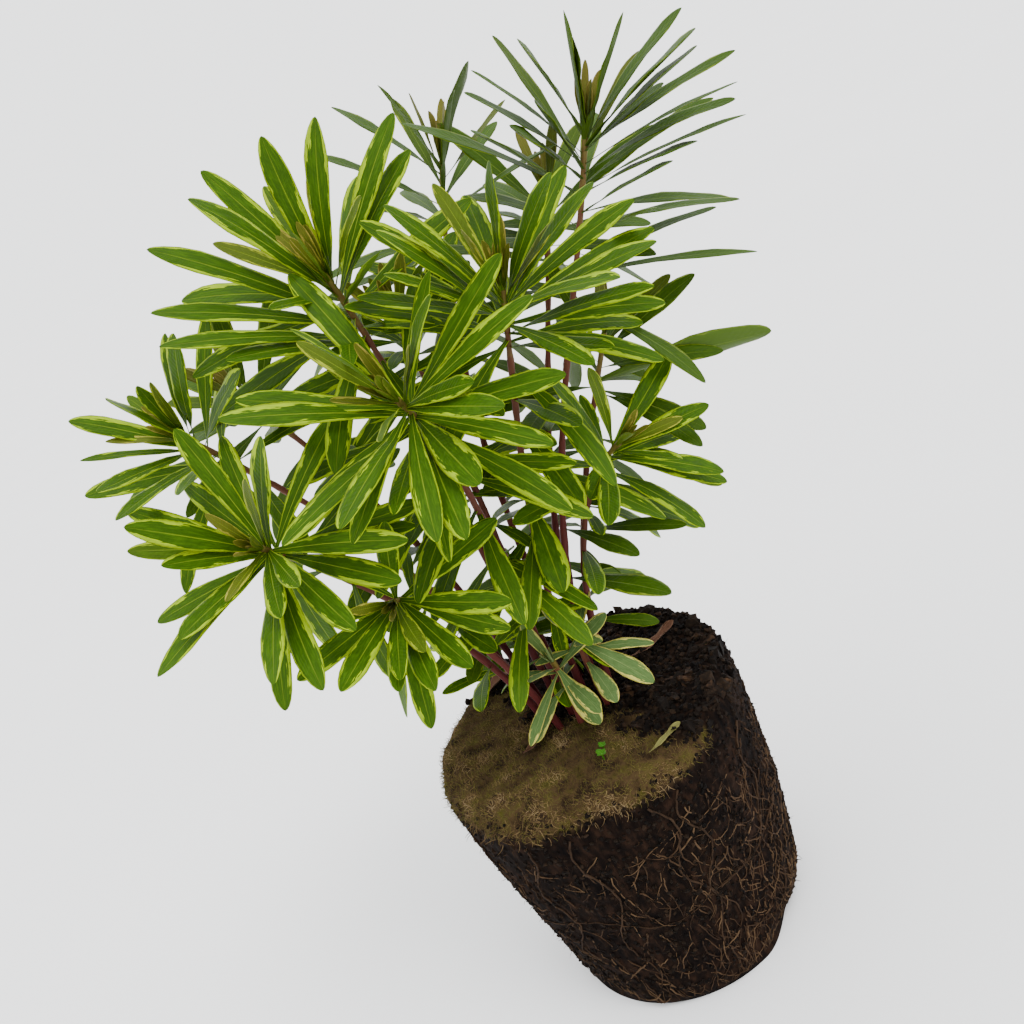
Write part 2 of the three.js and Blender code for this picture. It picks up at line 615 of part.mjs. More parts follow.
/** The blade of a plan, turned aside if it must be, or nothing where there is no room. */
function fittedBlade(thicket, stem, plan) {
  for (const tiltAside of TILTS_ASIDE) {
    for (const turnAside of TURNS_ASIDE) {
      const moved = { ...plan, turn: plan.turn + turnAside, tilt: plan.tilt + tiltAside };
      const sections = bladeSections(stem, moved);
      const samples = bladeSamples(sections);
      if (!samples.some(touchesSoil) && !thicket.blocks(samples, stem)) {
        for (const sample of samples) thicket.add({ ...sample, radius: 0, owner: stem });
        return sections;
      }
    }
  }
  return null;
}

/** Every shoot's blades, the single reaching leaves of all shoots first. */
function bladesOf(stems) {
  const thicket = new Thicket(7);
  stems.forEach((stem) => addStemTo(thicket, stem));
  const blades = new Map(stems.map((stem) => [stem, []]));
  const place = (stem, plan) => {
    const blade = fittedBlade(thicket, stem, plan);
    if (blade) blades.get(stem).push(blade);
  };
  for (const stem of stems) {
    for (const leaf of stem.shoot.reaching ?? []) place(stem, reachingLeaf(stem, leaf));
  }
  for (const stem of stems) {
    const draw = randomDraws(stem.shoot.seed);
    for (let count = 0; count < stem.shoot.leaves; count += 1) {
      const draws = Array.from({ length: 6 }, draw);
      if (count >= YOUNGEST_LEFT_OUT) place(stem, leafPlan(stem.shoot, count, draws));
    }
  }
  return blades;
}

function leafyStem(stem, blades) {
  const plant = blades.map(bladeSolid).reduce((joined, blade) => joined.add(blade), stemSolid(stem));
  return named(stem.shoot.name, geometryOf(plant), MATERIALS.leaf);
}

// ---- Fallen leaves ----

/** A dry leaf lying level, just over the highest soil beneath it, with its tip turned down. */
function fallenLeaf({ name, centre, direction, length, halfWidth }) {
  const angle = radians(direction);
  const along = new THREE.Vector3(Math.cos(angle), Math.sin(angle), 0);
  const side = UP.clone().cross(along);
  const stalk = new THREE.Vector3(...centre, 0).addScaledVector(along, -length / 2);
  const shares = LEAF_OUTLINE.map(([share]) => stalk.clone().addScaledVector(along, share * length));
  const floor = Math.max(...shares.map(({ x, y }) => soilTop(x, y))) + FALLEN_GAP;
  const rings = LEAF_OUTLINE.map(([share, width]) => {
    const middle = stalk.clone().addScaledVector(along, share * length).setZ(floor + BLADE.keel);
    if (width === 0) return [middle.setZ(floor)];
    const edges = [-1, 1].map((offset) => middle.clone().addScaledVector(side, offset * width * halfWidth));
    return [edges[0], middle.clone().setZ(floor), edges[1]];
  });
  return named(name, loft(rings), MATERIALS.litter);
}

// ---- The plant ----

const stems = SHOOTS.map(stemOf);
const blades = bladesOf(stems);

const plant = new THREE.Group();
plant.add(rootBall(stems), rootNet());
stems.forEach((stem) => plant.add(leafyStem(stem, blades.get(stem))));
FALLEN_LEAVES.forEach((leaf) => plant.add(fallenLeaf(leaf)));

export default plant;
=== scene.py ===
"""A variegated euphorbia lifted out of its pot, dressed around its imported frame.

Leaves, stems, soil, roots, moss and litter stand where the frame's solids stand. Sizes in this
file are in millimetres. mesh_object() turns them to the frame's metres, and what a node tree gets
is multiplied by MM.
"""

import logging
import math
from dataclasses import dataclass, replace
from enum import Enum
from functools import partial
from typing import Any, Callable, Iterator, Mapping, Sequence

import bpy
import numpy as np
from mathutils import Matrix, Vector, noise
from mathutils.kdtree import KDTree


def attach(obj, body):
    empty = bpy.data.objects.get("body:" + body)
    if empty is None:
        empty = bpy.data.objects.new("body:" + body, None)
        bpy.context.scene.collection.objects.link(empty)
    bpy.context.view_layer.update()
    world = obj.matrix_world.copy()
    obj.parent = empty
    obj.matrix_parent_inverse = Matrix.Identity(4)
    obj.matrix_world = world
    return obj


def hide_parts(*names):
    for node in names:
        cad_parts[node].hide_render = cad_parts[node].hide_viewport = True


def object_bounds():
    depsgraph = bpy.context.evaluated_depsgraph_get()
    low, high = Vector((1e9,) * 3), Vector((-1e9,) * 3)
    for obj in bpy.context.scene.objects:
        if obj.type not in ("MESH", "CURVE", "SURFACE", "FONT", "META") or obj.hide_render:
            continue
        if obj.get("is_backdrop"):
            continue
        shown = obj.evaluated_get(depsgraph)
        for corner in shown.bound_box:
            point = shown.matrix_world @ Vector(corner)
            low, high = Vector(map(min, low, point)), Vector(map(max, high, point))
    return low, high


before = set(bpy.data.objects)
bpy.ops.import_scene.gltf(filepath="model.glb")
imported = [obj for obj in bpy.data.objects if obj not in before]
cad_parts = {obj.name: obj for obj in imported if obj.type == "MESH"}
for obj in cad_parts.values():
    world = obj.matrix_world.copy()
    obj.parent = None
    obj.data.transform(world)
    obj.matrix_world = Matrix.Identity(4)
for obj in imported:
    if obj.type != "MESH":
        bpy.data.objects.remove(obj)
CAD_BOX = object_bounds()

LOG = logging.getLogger("euphorbia")
BODY = "root"
MM = 0.001
# Steps that never come round to the same place: in degrees, and as a share of a turn.
GOLDEN_ANGLE = 137.508
GOLDEN_SHARE = 0.618

Point = Sequence[float]
Socket = bpy.types.NodeSocket
Link = bpy.types.Node | bpy.types.NodeSocket | float | int | str | Sequence[float]
Adder = Callable[..., bpy.types.Node]


# ---- Small helpers ----


def linear(code: str) -> tuple[float, float, float, float]:
    """Turns an sRGB hex colour to the linear colour that shaders work in.

    Args:
        code: the colour as "#rrggbb".

    Returns:
        Linear red, green, blue and an alpha of 1.
    """
    channels = [int(code[start:start + 2], 16) / 255 for start in (1, 3, 5)]
    red, green, blue = (c / 12.92 if c <= 0.04045 else ((c + 0.055) / 1.055) ** 2.4 for c in channels)
    return red, green, blue, 1.0


def per_metre(size: float) -> float:
    """Returns the texture scale whose features are about size millimetres across."""
    return 1000 / size


def mix(low: float, high: float, share: float) -> float:
    """Returns the value that lies a share of the way from low to high."""
    return low + (high - low) * share


def smooth_step(low: float, high: float, value: float) -> float:
    """Returns 0 below low, 1 above high, and an eased value between them."""
    share = min(1.0, max(0.0, (value - low) / (high - low)))
    return share * share * (3 - 2 * share)


def unit(vector: np.ndarray) -> np.ndarray:
    """Returns a vector's direction, with a length of 1."""
    return vector / np.linalg.norm(vector)


def set_inputs(node: bpy.types.Node, inputs: Mapping[str | int, Link]) -> None:
    """Sets and links a node's inputs.

    Args:
        node: the node.
        inputs: a value, a socket or a node (its first active output) for each input.
    """
    for key, value in inputs.items():
        if isinstance(value, bpy.types.Node):
            value = next(output for output in value.outputs if output.enabled)
        if isinstance(value, bpy.types.NodeSocket):
            node.id_data.links.new(value, node.inputs[key])
        else:
            node.inputs[key].default_value = value


def add_node(
    tree: bpy.types.NodeTree,
    kind: str,
    inputs: Mapping[str | int, Link] | None = None,
    **settings: Any,
) -> bpy.types.Node:
    """Adds a node with its settings, values and links.

    Args:
        tree: the node tree that gets it.
        kind: the node's type name.
        inputs: what set_inputs() gives it.
        settings: its properties; "stops" are a colour ramp's (position, hex colour) pairs.

    Returns:
        The new node.
    """
    node = tree.nodes.new(kind)
    for name, value in settings.items():
        if name != "stops":
            setattr(node, name, value)
            continue
        elements = node.color_ramp.elements
        while len(elements) < len(value):
            elements.new(1.0)
        for element, (position, code) in zip(elements, value):
            element.position = position
            element.color = linear(code)
    set_inputs(node, inputs or {})
    return node


def new_material(name: str) -> tuple[bpy.types.Material, bpy.types.Node, Adder]:
    """Makes a material, and returns it, its shader and what adds a node to its tree."""
    material = bpy.data.materials.new(name)
    material.use_nodes = True
    tree = material.node_tree
    return material, tree.nodes["Principled BSDF"], partial(add_node, tree)


def new_object(name: str, data: bpy.types.ID) -> bpy.types.Object:
    """Makes an object of a mesh, a camera or a light, and links it to the scene."""
    made = bpy.data.objects.new(name, data)
    bpy.context.scene.collection.objects.link(made)
    return made


def store_values(mesh: bpy.types.Mesh, label: str, numbers: Sequence[float]) -> None:
    """Stores one number for each vertex as an attribute."""
    mesh.attributes.new(label, "FLOAT", "POINT").data.foreach_set("value", np.array(numbers, np.float32))


def mesh_object(
    name: str,
    points: Sequence[Point],
    edges: Sequence[Sequence[int]] = (),
    faces: Sequence[Sequence[int]] = (),
    values: Mapping[str, Sequence[float]] | None = None,
    vectors: Mapping[str, Sequence[Point]] | None = None,
) -> bpy.types.Object:
    """Makes an object at the origin, with its place in its mesh.

    Args:
        name: the object's name.
        points: its vertices, in millimetres.
        edges: its loose edges.
        faces: its faces.
        values: one number for each vertex, by attribute name.
        vectors: one vector for each vertex, by attribute name.

    Returns:
        The object, linked to the scene.
    """
    mesh = bpy.data.meshes.new(name)
    mesh.from_pydata([tuple(c * MM for c in point) for point in points], edges, faces)
    for label, numbers in (values or {}).items():
        store_values(mesh, label, numbers)
    for label, arrows in (vectors or {}).items():
        flat = np.array(arrows, np.float32).ravel()
        mesh.attributes.new(label, "FLOAT_VECTOR", "POINT").data.foreach_set("vector", flat)
    return new_object(name, mesh)


def finish_piece(piece: bpy.types.Object, slot: str, replaced: Sequence[str] = ()) -> None:
    """Makes a piece ride with the plant and hides the solids that it stands for."""
    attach(piece, BODY)
    if replaced:
        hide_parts(*replaced)
    LOG.info("%s: %d faces", piece.name, len(piece.data.polygons))


def random_draws(seed: int) -> Iterator[float]:
    """Gives the same repeatable draws from -1 to 1 as the part's own rule.

    Args:
        seed: a whole number that picks the series.

    Yields:
        The next draw.
    """
    mask = 0xFFFFFFFF
    state = seed
    while True:
        state = (state + 0x6D2B79F5) & mask
        mixed = ((state ^ (state >> 15)) * (state | 1)) & mask
        mixed ^= (mixed + (((mixed ^ (mixed >> 7)) * (mixed | 61)) & mask)) & mask
        yield ((mixed ^ (mixed >> 14)) & mask) / 4294967296 * 2 - 1


# ---- Finishes ----


@dataclass(frozen=True)
class LeafFinish:
    """Living euphorbia leaf: leathery and nearly matt, so a low gloss over clear colour.

    The green heart and the pale margin are two layers of tissue. Their border runs in and out in
    streaks along the blade, more so towards the tip, and the very edge is always pale.
    """

    name: str
    heart: str
    heart_light: str
    margin: str
    margin_edge: str
    young: str
    young_margin: str
    under: str
    rib: str
    margin_start: float = 0.82
    raggedness: float = 1.0
    roughness: float = 0.5

    def material(self) -> bpy.types.Material:
        """Builds the leaf material on the blade's own attributes."""
        material, shader, add = new_material(self.name)
        across, along, seed, age, low, under = (
            add("ShaderNodeAttribute", attribute_name=label).outputs["Fac"]
            for label in ("across", "along", "leaf_seed", "leaf_age", "leaf_low", "underside")
        )
        from_rib = add("ShaderNodeMath", {0: across}, operation="ABSOLUTE")
        place = add("ShaderNodeCombineXYZ", {"X": across, "Y": along, "Z": seed})
        # A blade is about 10 mm by 60 mm: streaks 0.6 mm wide and 6 mm long, and waves of 20 mm.
        streaks = self.noise_on(add, place, (8, 11, 97), 2.0)
        waves = self.noise_on(add, place, (0.7, 3, 61), 1.0)
        depth = self.depth_of(add, from_rib, along, streaks, waves)
        lighter = add("ShaderNodeMapRange", {"Value": streaks, 1: 0.42, 2: 0.7, 3: 0.0, 4: 0.75})
        green = self.painted(add, linear(self.heart), [(lighter, linear(self.heart_light))])
        pale = self.painted(add, linear(self.margin), [(lighter, linear(self.margin_edge))])
        in_margin = add(
            "ShaderNodeMapRange",
            {"Value": depth, 1: self.margin_start - 0.05, 2: self.margin_start + 0.02, 3: 0.0, 4: 1.0},
        )
        young = self.painted(add, linear(self.young), [(in_margin, linear(self.young_margin))])
        youth = add("ShaderNodeMapRange", {"Value": age, 1: 0.04, 2: 0.3, 3: 0.9, 4: 0.0})
        tip_share = add("ShaderNodeMapRange", {"Value": along, 1: 0.0, 2: 0.8, 3: 0.3, 4: 1.0})
        tip_youth = add("ShaderNodeMath", {0: youth, 1: tip_share}, operation="MULTIPLY")
        worn = add("ShaderNodeMath", {0: low, 1: 0.3}, operation="MULTIPLY")
        under_share = add("ShaderNodeMath", {0: under, 1: 0.55}, operation="MULTIPLY")
        # The rib is a thin pale line that fades out before the tip.
        rib_line = add("ShaderNodeMapRange", {"Value": from_rib, 1: 0.015, 2: 0.06, 3: 0.75, 4: 0.0})
        rib_fade = add("ShaderNodeMapRange", {"Value": along, 1: 0.2, 2: 0.95, 3: 1.0, 4: 0.2})
        rib_share = add("ShaderNodeMath", {0: rib_line, 1: rib_fade}, operation="MULTIPLY")
        under_colour = linear(self.under)
        coats = [
            (in_margin, pale), (tip_youth, young), (worn, under_colour), (under_share, under_colour),
            (rib_share, linear(self.rib)),
        ]
        roughness = add(
            "ShaderNodeMapRange",
            {"Value": streaks, 1: 0.3, 2: 0.7, 3: self.roughness - 0.05, 4: self.roughness + 0.1},
        )
        # Side veins slant towards the tip, about 2.5 mm apart, and show only as faint relief.
        slant = add("ShaderNodeMath", {0: from_rib, 1: -11.0}, operation="MULTIPLY")
        phase = add("ShaderNodeMath", {0: along, 1: 150.0, 2: slant}, operation="MULTIPLY_ADD")
        veins = add("ShaderNodeMath", {0: phase}, operation="SINE")
        relief = add("ShaderNodeMath", {0: veins, 1: 0.12, 2: streaks}, operation="MULTIPLY_ADD")
        grooved = add("ShaderNodeMath", {0: relief, 1: rib_line}, operation="SUBTRACT")
        bump = add("ShaderNodeBump", {"Strength": 0.5, "Distance": 0.4 * MM, "Height": grooved})
        set_inputs(shader, {
            "Base Color": self.painted(add, green, coats), "Roughness": roughness, "Normal": bump,
            "IOR": 1.45, "Specular IOR Level": 0.1,
        })
        return material

    def noise_on(
        self, add: Adder, place: bpy.types.Node, stretch: Point, detail: float
    ) -> bpy.types.Node:
        """Adds noise in the blade's own coordinates.

        Args:
            add: adds a node to the material's tree.
            place: across, along and the leaf's own seed.
            stretch: how many features fit across half the blade, along it, and between leaves.
            detail: how many finer layers the noise has.

        Returns:
            The noise node.
        """
        stretched = add("ShaderNodeVectorMath", {0: place, 1: stretch}, operation="MULTIPLY")
        return add("ShaderNodeTexNoise", {"Vector": stretched, "Scale": 1.0, "Detail": detail})

    def depth_of(
        self, add: Adder, from_rib: bpy.types.Node, along: Socket,
        streaks: bpy.types.Node, waves: bpy.types.Node,
    ) -> bpy.types.Node:
        """Adds the ragged distance from the rib, which is 1 or more at the edge.

        Args:
            add: adds a node to the material's tree.
            from_rib: the plain distance from the rib.
            along: the place along the blade.
            streaks: fine noise.
            waves: coarse noise.

        Returns:
            The node that gives the distance.
        """
        # Both noises average a half, and their sum a little less than nothing.
        coarse = add("ShaderNodeMath", {0: waves, 1: 1.3, 2: -1.12}, operation="MULTIPLY_ADD")
        both = add("ShaderNodeMath", {0: streaks, 1: 0.9, 2: coarse}, operation="MULTIPLY_ADD")
        tipward = add(
            "ShaderNodeMapRange",
            {"Value": along, 1: 0.15, 2: 0.9, 3: 0.35 * self.raggedness, 4: 1.35 * self.raggedness},
        )
        ragged = add("ShaderNodeMath", {0: both, 1: tipward, 2: from_rib}, operation="MULTIPLY_ADD")
        edge = add("ShaderNodeMapRange", {"Value": from_rib, 1: 0.82, 2: 0.9, 3: 0.0, 4: 1.0})
        return add("ShaderNodeMath", {0: ragged, 1: edge}, operation="MAXIMUM")

    def painted(
        self, add: Adder, ground: Link, coats: Sequence[tuple[bpy.types.Node, Link]]
    ) -> Link:
        """Lays coats of colour over a ground, one after the other.

        Args:
            add: adds a node to the material's tree.
            ground: the colour that lies lowest.
            coats: for each coat, how much of it shows and its colour.

        Returns:
            The finished colour.
        """
        for share, colour in coats:
            coat = add("ShaderNodeMix", {0: share, 6: ground, 7: colour}, data_type="RGBA")
            ground = coat.outputs[2]
        return ground


@dataclass(frozen=True)
class StalkFinish:
    """Young euphorbia stem: smooth bark, deep red near the soil and greener towards the tip."""

    name: str
    foot: str
    middle: str
    neck: str
    tip: str

    def material(self) -> bpy.types.Material:
        """Builds the stem material along the tube's own length."""
        material, shader, add = new_material(self.name)
        along = add("ShaderNodeAttribute", attribute_name="along").outputs["Fac"]
        place = add("ShaderNodeTexCoord").outputs["Object"]
        blotches = add("ShaderNodeTexNoise", {"Vector": place, "Scale": per_metre(4), "Detail": 3.0})
        shifted = add("ShaderNodeMath", {0: blotches, 1: 0.3, 2: along}, operation="MULTIPLY_ADD")
        # The blotches average a half, so half of their share is taken off again.
        ramped = add("ShaderNodeMath", {0: shifted, 1: 0.15}, operation="SUBTRACT")
        stops = ((0.0, self.foot), (0.4, self.middle), (0.86, self.neck), (1.0, self.tip))
        colour = add("ShaderNodeValToRGB", {"Fac": ramped}, stops=stops)
        grain = add("ShaderNodeTexNoise", {"Vector": place, "Scale": per_metre(0.9), "Detail": 2.0})
        bump = add("ShaderNodeBump", {"Strength": 0.4, "Distance": 0.3 * MM, "Height": grain})
        set_inputs(shader, {
            "Base Color": colour, "Normal": bump, "IOR": 1.45, "Roughness": 0.5, "Specular IOR Level": 0.15,
        })
        return material


@dataclass(frozen=True)
class EarthFinish:
    """Damp peat potting soil: matt and crumbly, nearly black where it is wet, mossy on top."""

    name: str
    dark: str
    damp: str
    dry: str
    moss_dark: str
    moss_light: str
    moss_green: str
    grit: float

    def material(self) -> bpy.types.Material:
        """Builds the soil material, with moss where the mesh's moss attribute says."""
        material, shader, add = new_material(self.name)
        place = add("ShaderNodeTexCoord").outputs["Object"]
        moss = add("ShaderNodeAttribute", attribute_name="moss").outputs["Fac"]
        # Soil that slid along the pot's wall shows streaks down it.
        streaked = add("ShaderNodeVectorMath", {0: place, 1: (1, 1, 0.45)}, operation="MULTIPLY")
        crumbs = add("ShaderNodeTexNoise", {"Vector": streaked, "Scale": per_metre(self.grit), "Detail": 5.0})
        patches = add("ShaderNodeTexNoise", {"Vector": place, "Scale": per_metre(22), "Detail": 2.0})
        shade = add("ShaderNodeMath", {0: patches, 1: 0.5, 2: crumbs}, operation="MULTIPLY_ADD")
        soil_stops = ((0.55, self.dark), (0.75, self.damp), (0.95, self.dry))
        soil = add("ShaderNodeValToRGB", {"Fac": shade}, stops=soil_stops)
        tufts = add("ShaderNodeTexNoise", {"Vector": place, "Scale": per_metre(9), "Detail": 4.0})
        moss_stops = ((0.35, self.moss_dark), (0.52, self.moss_light), (0.68, self.moss_green))
        carpet = add("ShaderNodeValToRGB", {"Fac": tufts}, stops=moss_stops)
        colour = add("ShaderNodeMix", {0: moss, 6: soil, 7: carpet}, data_type="RGBA")
        bump = add("ShaderNodeBump", {"Strength": 0.8, "Distance": 1.2 * MM, "Height": crumbs})
        set_inputs(shader, {
            "Base Color": colour.outputs[2], "Normal": bump, "IOR": 1.4, "Roughness": 0.95,
            "Specular IOR Level": 0.08,
        })
        return material


@dataclass(frozen=True)
class FibreFinish:
    """Small dry or living plant bits: matt, each piece with its own shade between the stops."""

    name: str
    shades: tuple[str, ...]
    roughness: float
    grain: float
    patchiness: float = 0.3

    def material(self) -> bpy.types.Material:
        """Builds the material on each piece's own shade attribute and on patches of its grain."""
        material, shader, add = new_material(self.name)
        place = add("ShaderNodeTexCoord").outputs["Object"]
        own = add("ShaderNodeAttribute", attribute_name="shade").outputs["Fac"]
        mottle = add("ShaderNodeTexNoise", {"Vector": place, "Scale": per_metre(self.grain), "Detail": 3.0})
        patches = add("ShaderNodeMapRange", {"Value": mottle, 1: 0.35, 2: 0.65})
        shade = add("ShaderNodeMix", {0: self.patchiness, 2: own, 3: patches}, data_type="FLOAT")
        last = len(self.shades) - 1
        stops = tuple((index / last, code) for index, code in enumerate(self.shades))
        colour = add("ShaderNodeValToRGB", {"Fac": shade}, stops=stops)
        bump = add("ShaderNodeBump", {"Strength": 0.5, "Distance": 0.4 * MM, "Height": mottle})
        set_inputs(shader, {
            "Base Color": colour, "Normal": bump, "IOR": 1.45, "Roughness": self.roughness,
            "Specular IOR Level": 0.12,
        })
        return material


@dataclass(frozen=True)
class PaperFinish:
    """Seamless studio paper: pale, even and matt."""

    name: str
    colour: str

    def material(self) -> bpy.types.Material:
        """Builds the paper material, with a very faint unevenness of 300 mm."""
        material, shader, add = new_material(self.name)
        place = add("ShaderNodeTexCoord").outputs["Object"]
        cloud = add("ShaderNodeTexNoise", {"Vector": place, "Scale": per_metre(300), "Detail": 1.0})
        share = add("ShaderNodeMapRange", {"Value": cloud, 1: 0.3, 2: 0.7, 3: 0.0, 4: 0.06})
        colour = add(
            "ShaderNodeMix", {0: share, 6: linear(self.colour), 7: linear("#ffffff")}, data_type="RGBA"
        )
        set_inputs(shader, {"Base Color": colour.outputs[2], "Roughness": 0.9})
        return material


class Habit(Enum):
    """How a shoot's leaves are coloured."""

    VARIEGATED = LeafFinish(
        "leathery_leaf_variegated", heart="#2a4500", heart_light="#3c5b00", margin="#7c9600",
        margin_edge="#96ae00", young="#5c5e1c", young_margin="#98843c", under="#4c681a", rib="#8aa01c",
    )
    # Painted shade: a darker, duller copy of the variegated leaf, with thinner pale margins, for the shoots
    # at the back and the right.
    SHADED = LeafFinish(
        "leathery_leaf_shaded", heart="#284000", heart_light="#364e06", margin="#5c700e",
        margin_edge="#7a8828", young="#5c5620", young_margin="#84703a", under="#4a6020", rib="#667c26",
        margin_start=0.93, raggedness=0.5,
    )
    BASAL = LeafFinish(
        "leathery_leaf_basal", heart="#40562a", heart_light="#526839", margin="#a09a42",
        margin_edge="#beb45c", young="#54682e", young_margin="#989450", under="#5c6e46", rib="#7a8a4e",
        roughness=0.6,
    )


STALK = StalkFinish("young_bark", foot="#380d12", middle="#50201c", neck="#573424", tip="#625a26")
EARTH = EarthFinish(
    "peat_soil", dark="#040202", damp="#0f0805", dry="#20140d",
    moss_dark="#20170e", moss_light="#40321f", moss_green="#3a3614", grit=3.0,
)
CRUMB = FibreFinish("soil_crumb", ("#030202", "#090503", "#150e08", "#261a10"), roughness=0.95, grain=1.5)
ROOT = FibreFinish("fibrous_root", ("#190f08", "#332417", "#53402c"), roughness=0.85, grain=5.0)
HAIR = FibreFinish("root_hair", ("#150d08", "#281a10", "#43311f"), roughness=0.9, grain=8.0)
MOSS = FibreFinish(
    "cushion_moss", ("#20160c", "#453521", "#524e20", "#6f5a3a", "#94805e"), roughness=0.9, grain=13.0,
    patchiness=0.65,
)
FRINGE = FibreFinish("dry_moss_fringe", ("#3a2c1c", "#5c4a30", "#766242"), roughness=0.9, grain=6.0)
CHIP = FibreFinish("bark_chip", ("#060403", "#0e0906", "#1a110a", "#3d2b1c"), roughness=0.9, grain=2.0)
DRY_LEAF = LeafFinish(
    "dry_fallen_leaf", heart="#4a3124", heart_light="#5c4030", margin="#644836", margin_edge="#725642",
    young="#4a3124", young_margin="#644836", under="#645042", rib="#644c38", roughness=0.8,
)
PALE_LEAF = LeafFinish(
    "pale_fallen_leaf", heart="#5c5a30", heart_light="#6c6a3c", margin="#77713f", margin_edge="#807a4a",
    young="#5c5a30", young_margin="#77713f", under="#6c6440", rib="#7c7448", roughness=0.8,
)
SEEDLING = LeafFinish(
    "seedling_leaf", heart="#2e5e0c", heart_light="#3a6c12", margin="#407218", margin_edge="#4a7c20",
    young="#3a6c12", young_margin="#407218", under="#4a7830", rib="#588c36", raggedness=0.2,
)
PAPER = PaperFinish("studio_paper", "#e8e8e8")


# ---- Geometry Nodes that grow pieces ----


class Grower:
    """A Geometry Nodes tree with named sizes that turns a source mesh into a finished piece."""

    NAME = ""
    FLOATS: tuple[str, ...] = ()
    WHOLE: tuple[str, ...] = ()

    def __init__(self) -> None:
        """Makes the tree: its inputs, what build() adds, and the ending that every tree has."""
        self.tree = bpy.data.node_groups.new(self.NAME, "GeometryNodeTree")
        self.add = partial(add_node, self.tree)
        sockets = [("Geometry", "NodeSocketGeometry"), ("Material", "NodeSocketMaterial")]
        sockets += [(label, "NodeSocketFloat") for label in self.FLOATS]
        sockets += [(label, "NodeSocketInt") for label in self.WHOLE]
        for label, kind in sockets:
            self.tree.interface.new_socket(label, in_out="INPUT", socket_type=kind)
        self.tree.interface.new_socket("Geometry", in_out="OUTPUT", socket_type="NodeSocketGeometry")
        self.given = self.add("NodeGroupInput").outputs
        grown = self.add("GeometryNodeRealizeInstances", {"Geometry": self.build()})
        dressed = self.add(
            "GeometryNodeSetMaterial",
            {"Geometry": self.shape_realised(grown), "Material": self.given["Material"]},
        )
        self.add("NodeGroupOutput", {"Geometry": dressed})

    def build(self) -> bpy.types.Node:
        """Adds the nodes that make the geometry, and returns the last of them."""
        raise NotImplementedError

    def shape_realised(self, grown: bpy.types.Node) -> bpy.types.Node:
        """Adds what needs real geometry in place of instances; as it stands, nothing."""
        return grown

    def grow(
        self, source: bpy.types.Object, material: bpy.types.Material, **sizes: float
    ) -> bpy.types.Object:
        """Runs the tree on a source and keeps the result as a plain mesh.

        Args:
            source: the object that the tree reads; it is used up.
            material: what the piece is made of.
            sizes: the tree's inputs, with underscores for spaces.

        Returns:
            The piece, named as the source was.
        """
        modifier = source.modifiers.new(self.NAME, "NODES")
        modifier.node_group = self.tree
        given = {key.replace("_", " ").capitalize(): value for key, value in sizes.items()}
        given["Material"] = material
        for item in self.tree.interface.items_tree:
            if item.in_out == "INPUT" and item.name in given:
                modifier[item.identifier] = given[item.name]
        depsgraph = bpy.context.evaluated_depsgraph_get()
        evaluated = source.evaluated_get(depsgraph)
        mesh = bpy.data.meshes.new_from_object(evaluated, preserve_all_data_layers=True, depsgraph=depsgraph)
        name = source.name
        bpy.data.objects.remove(source)
        mesh.name = name
        return new_object(name, mesh)


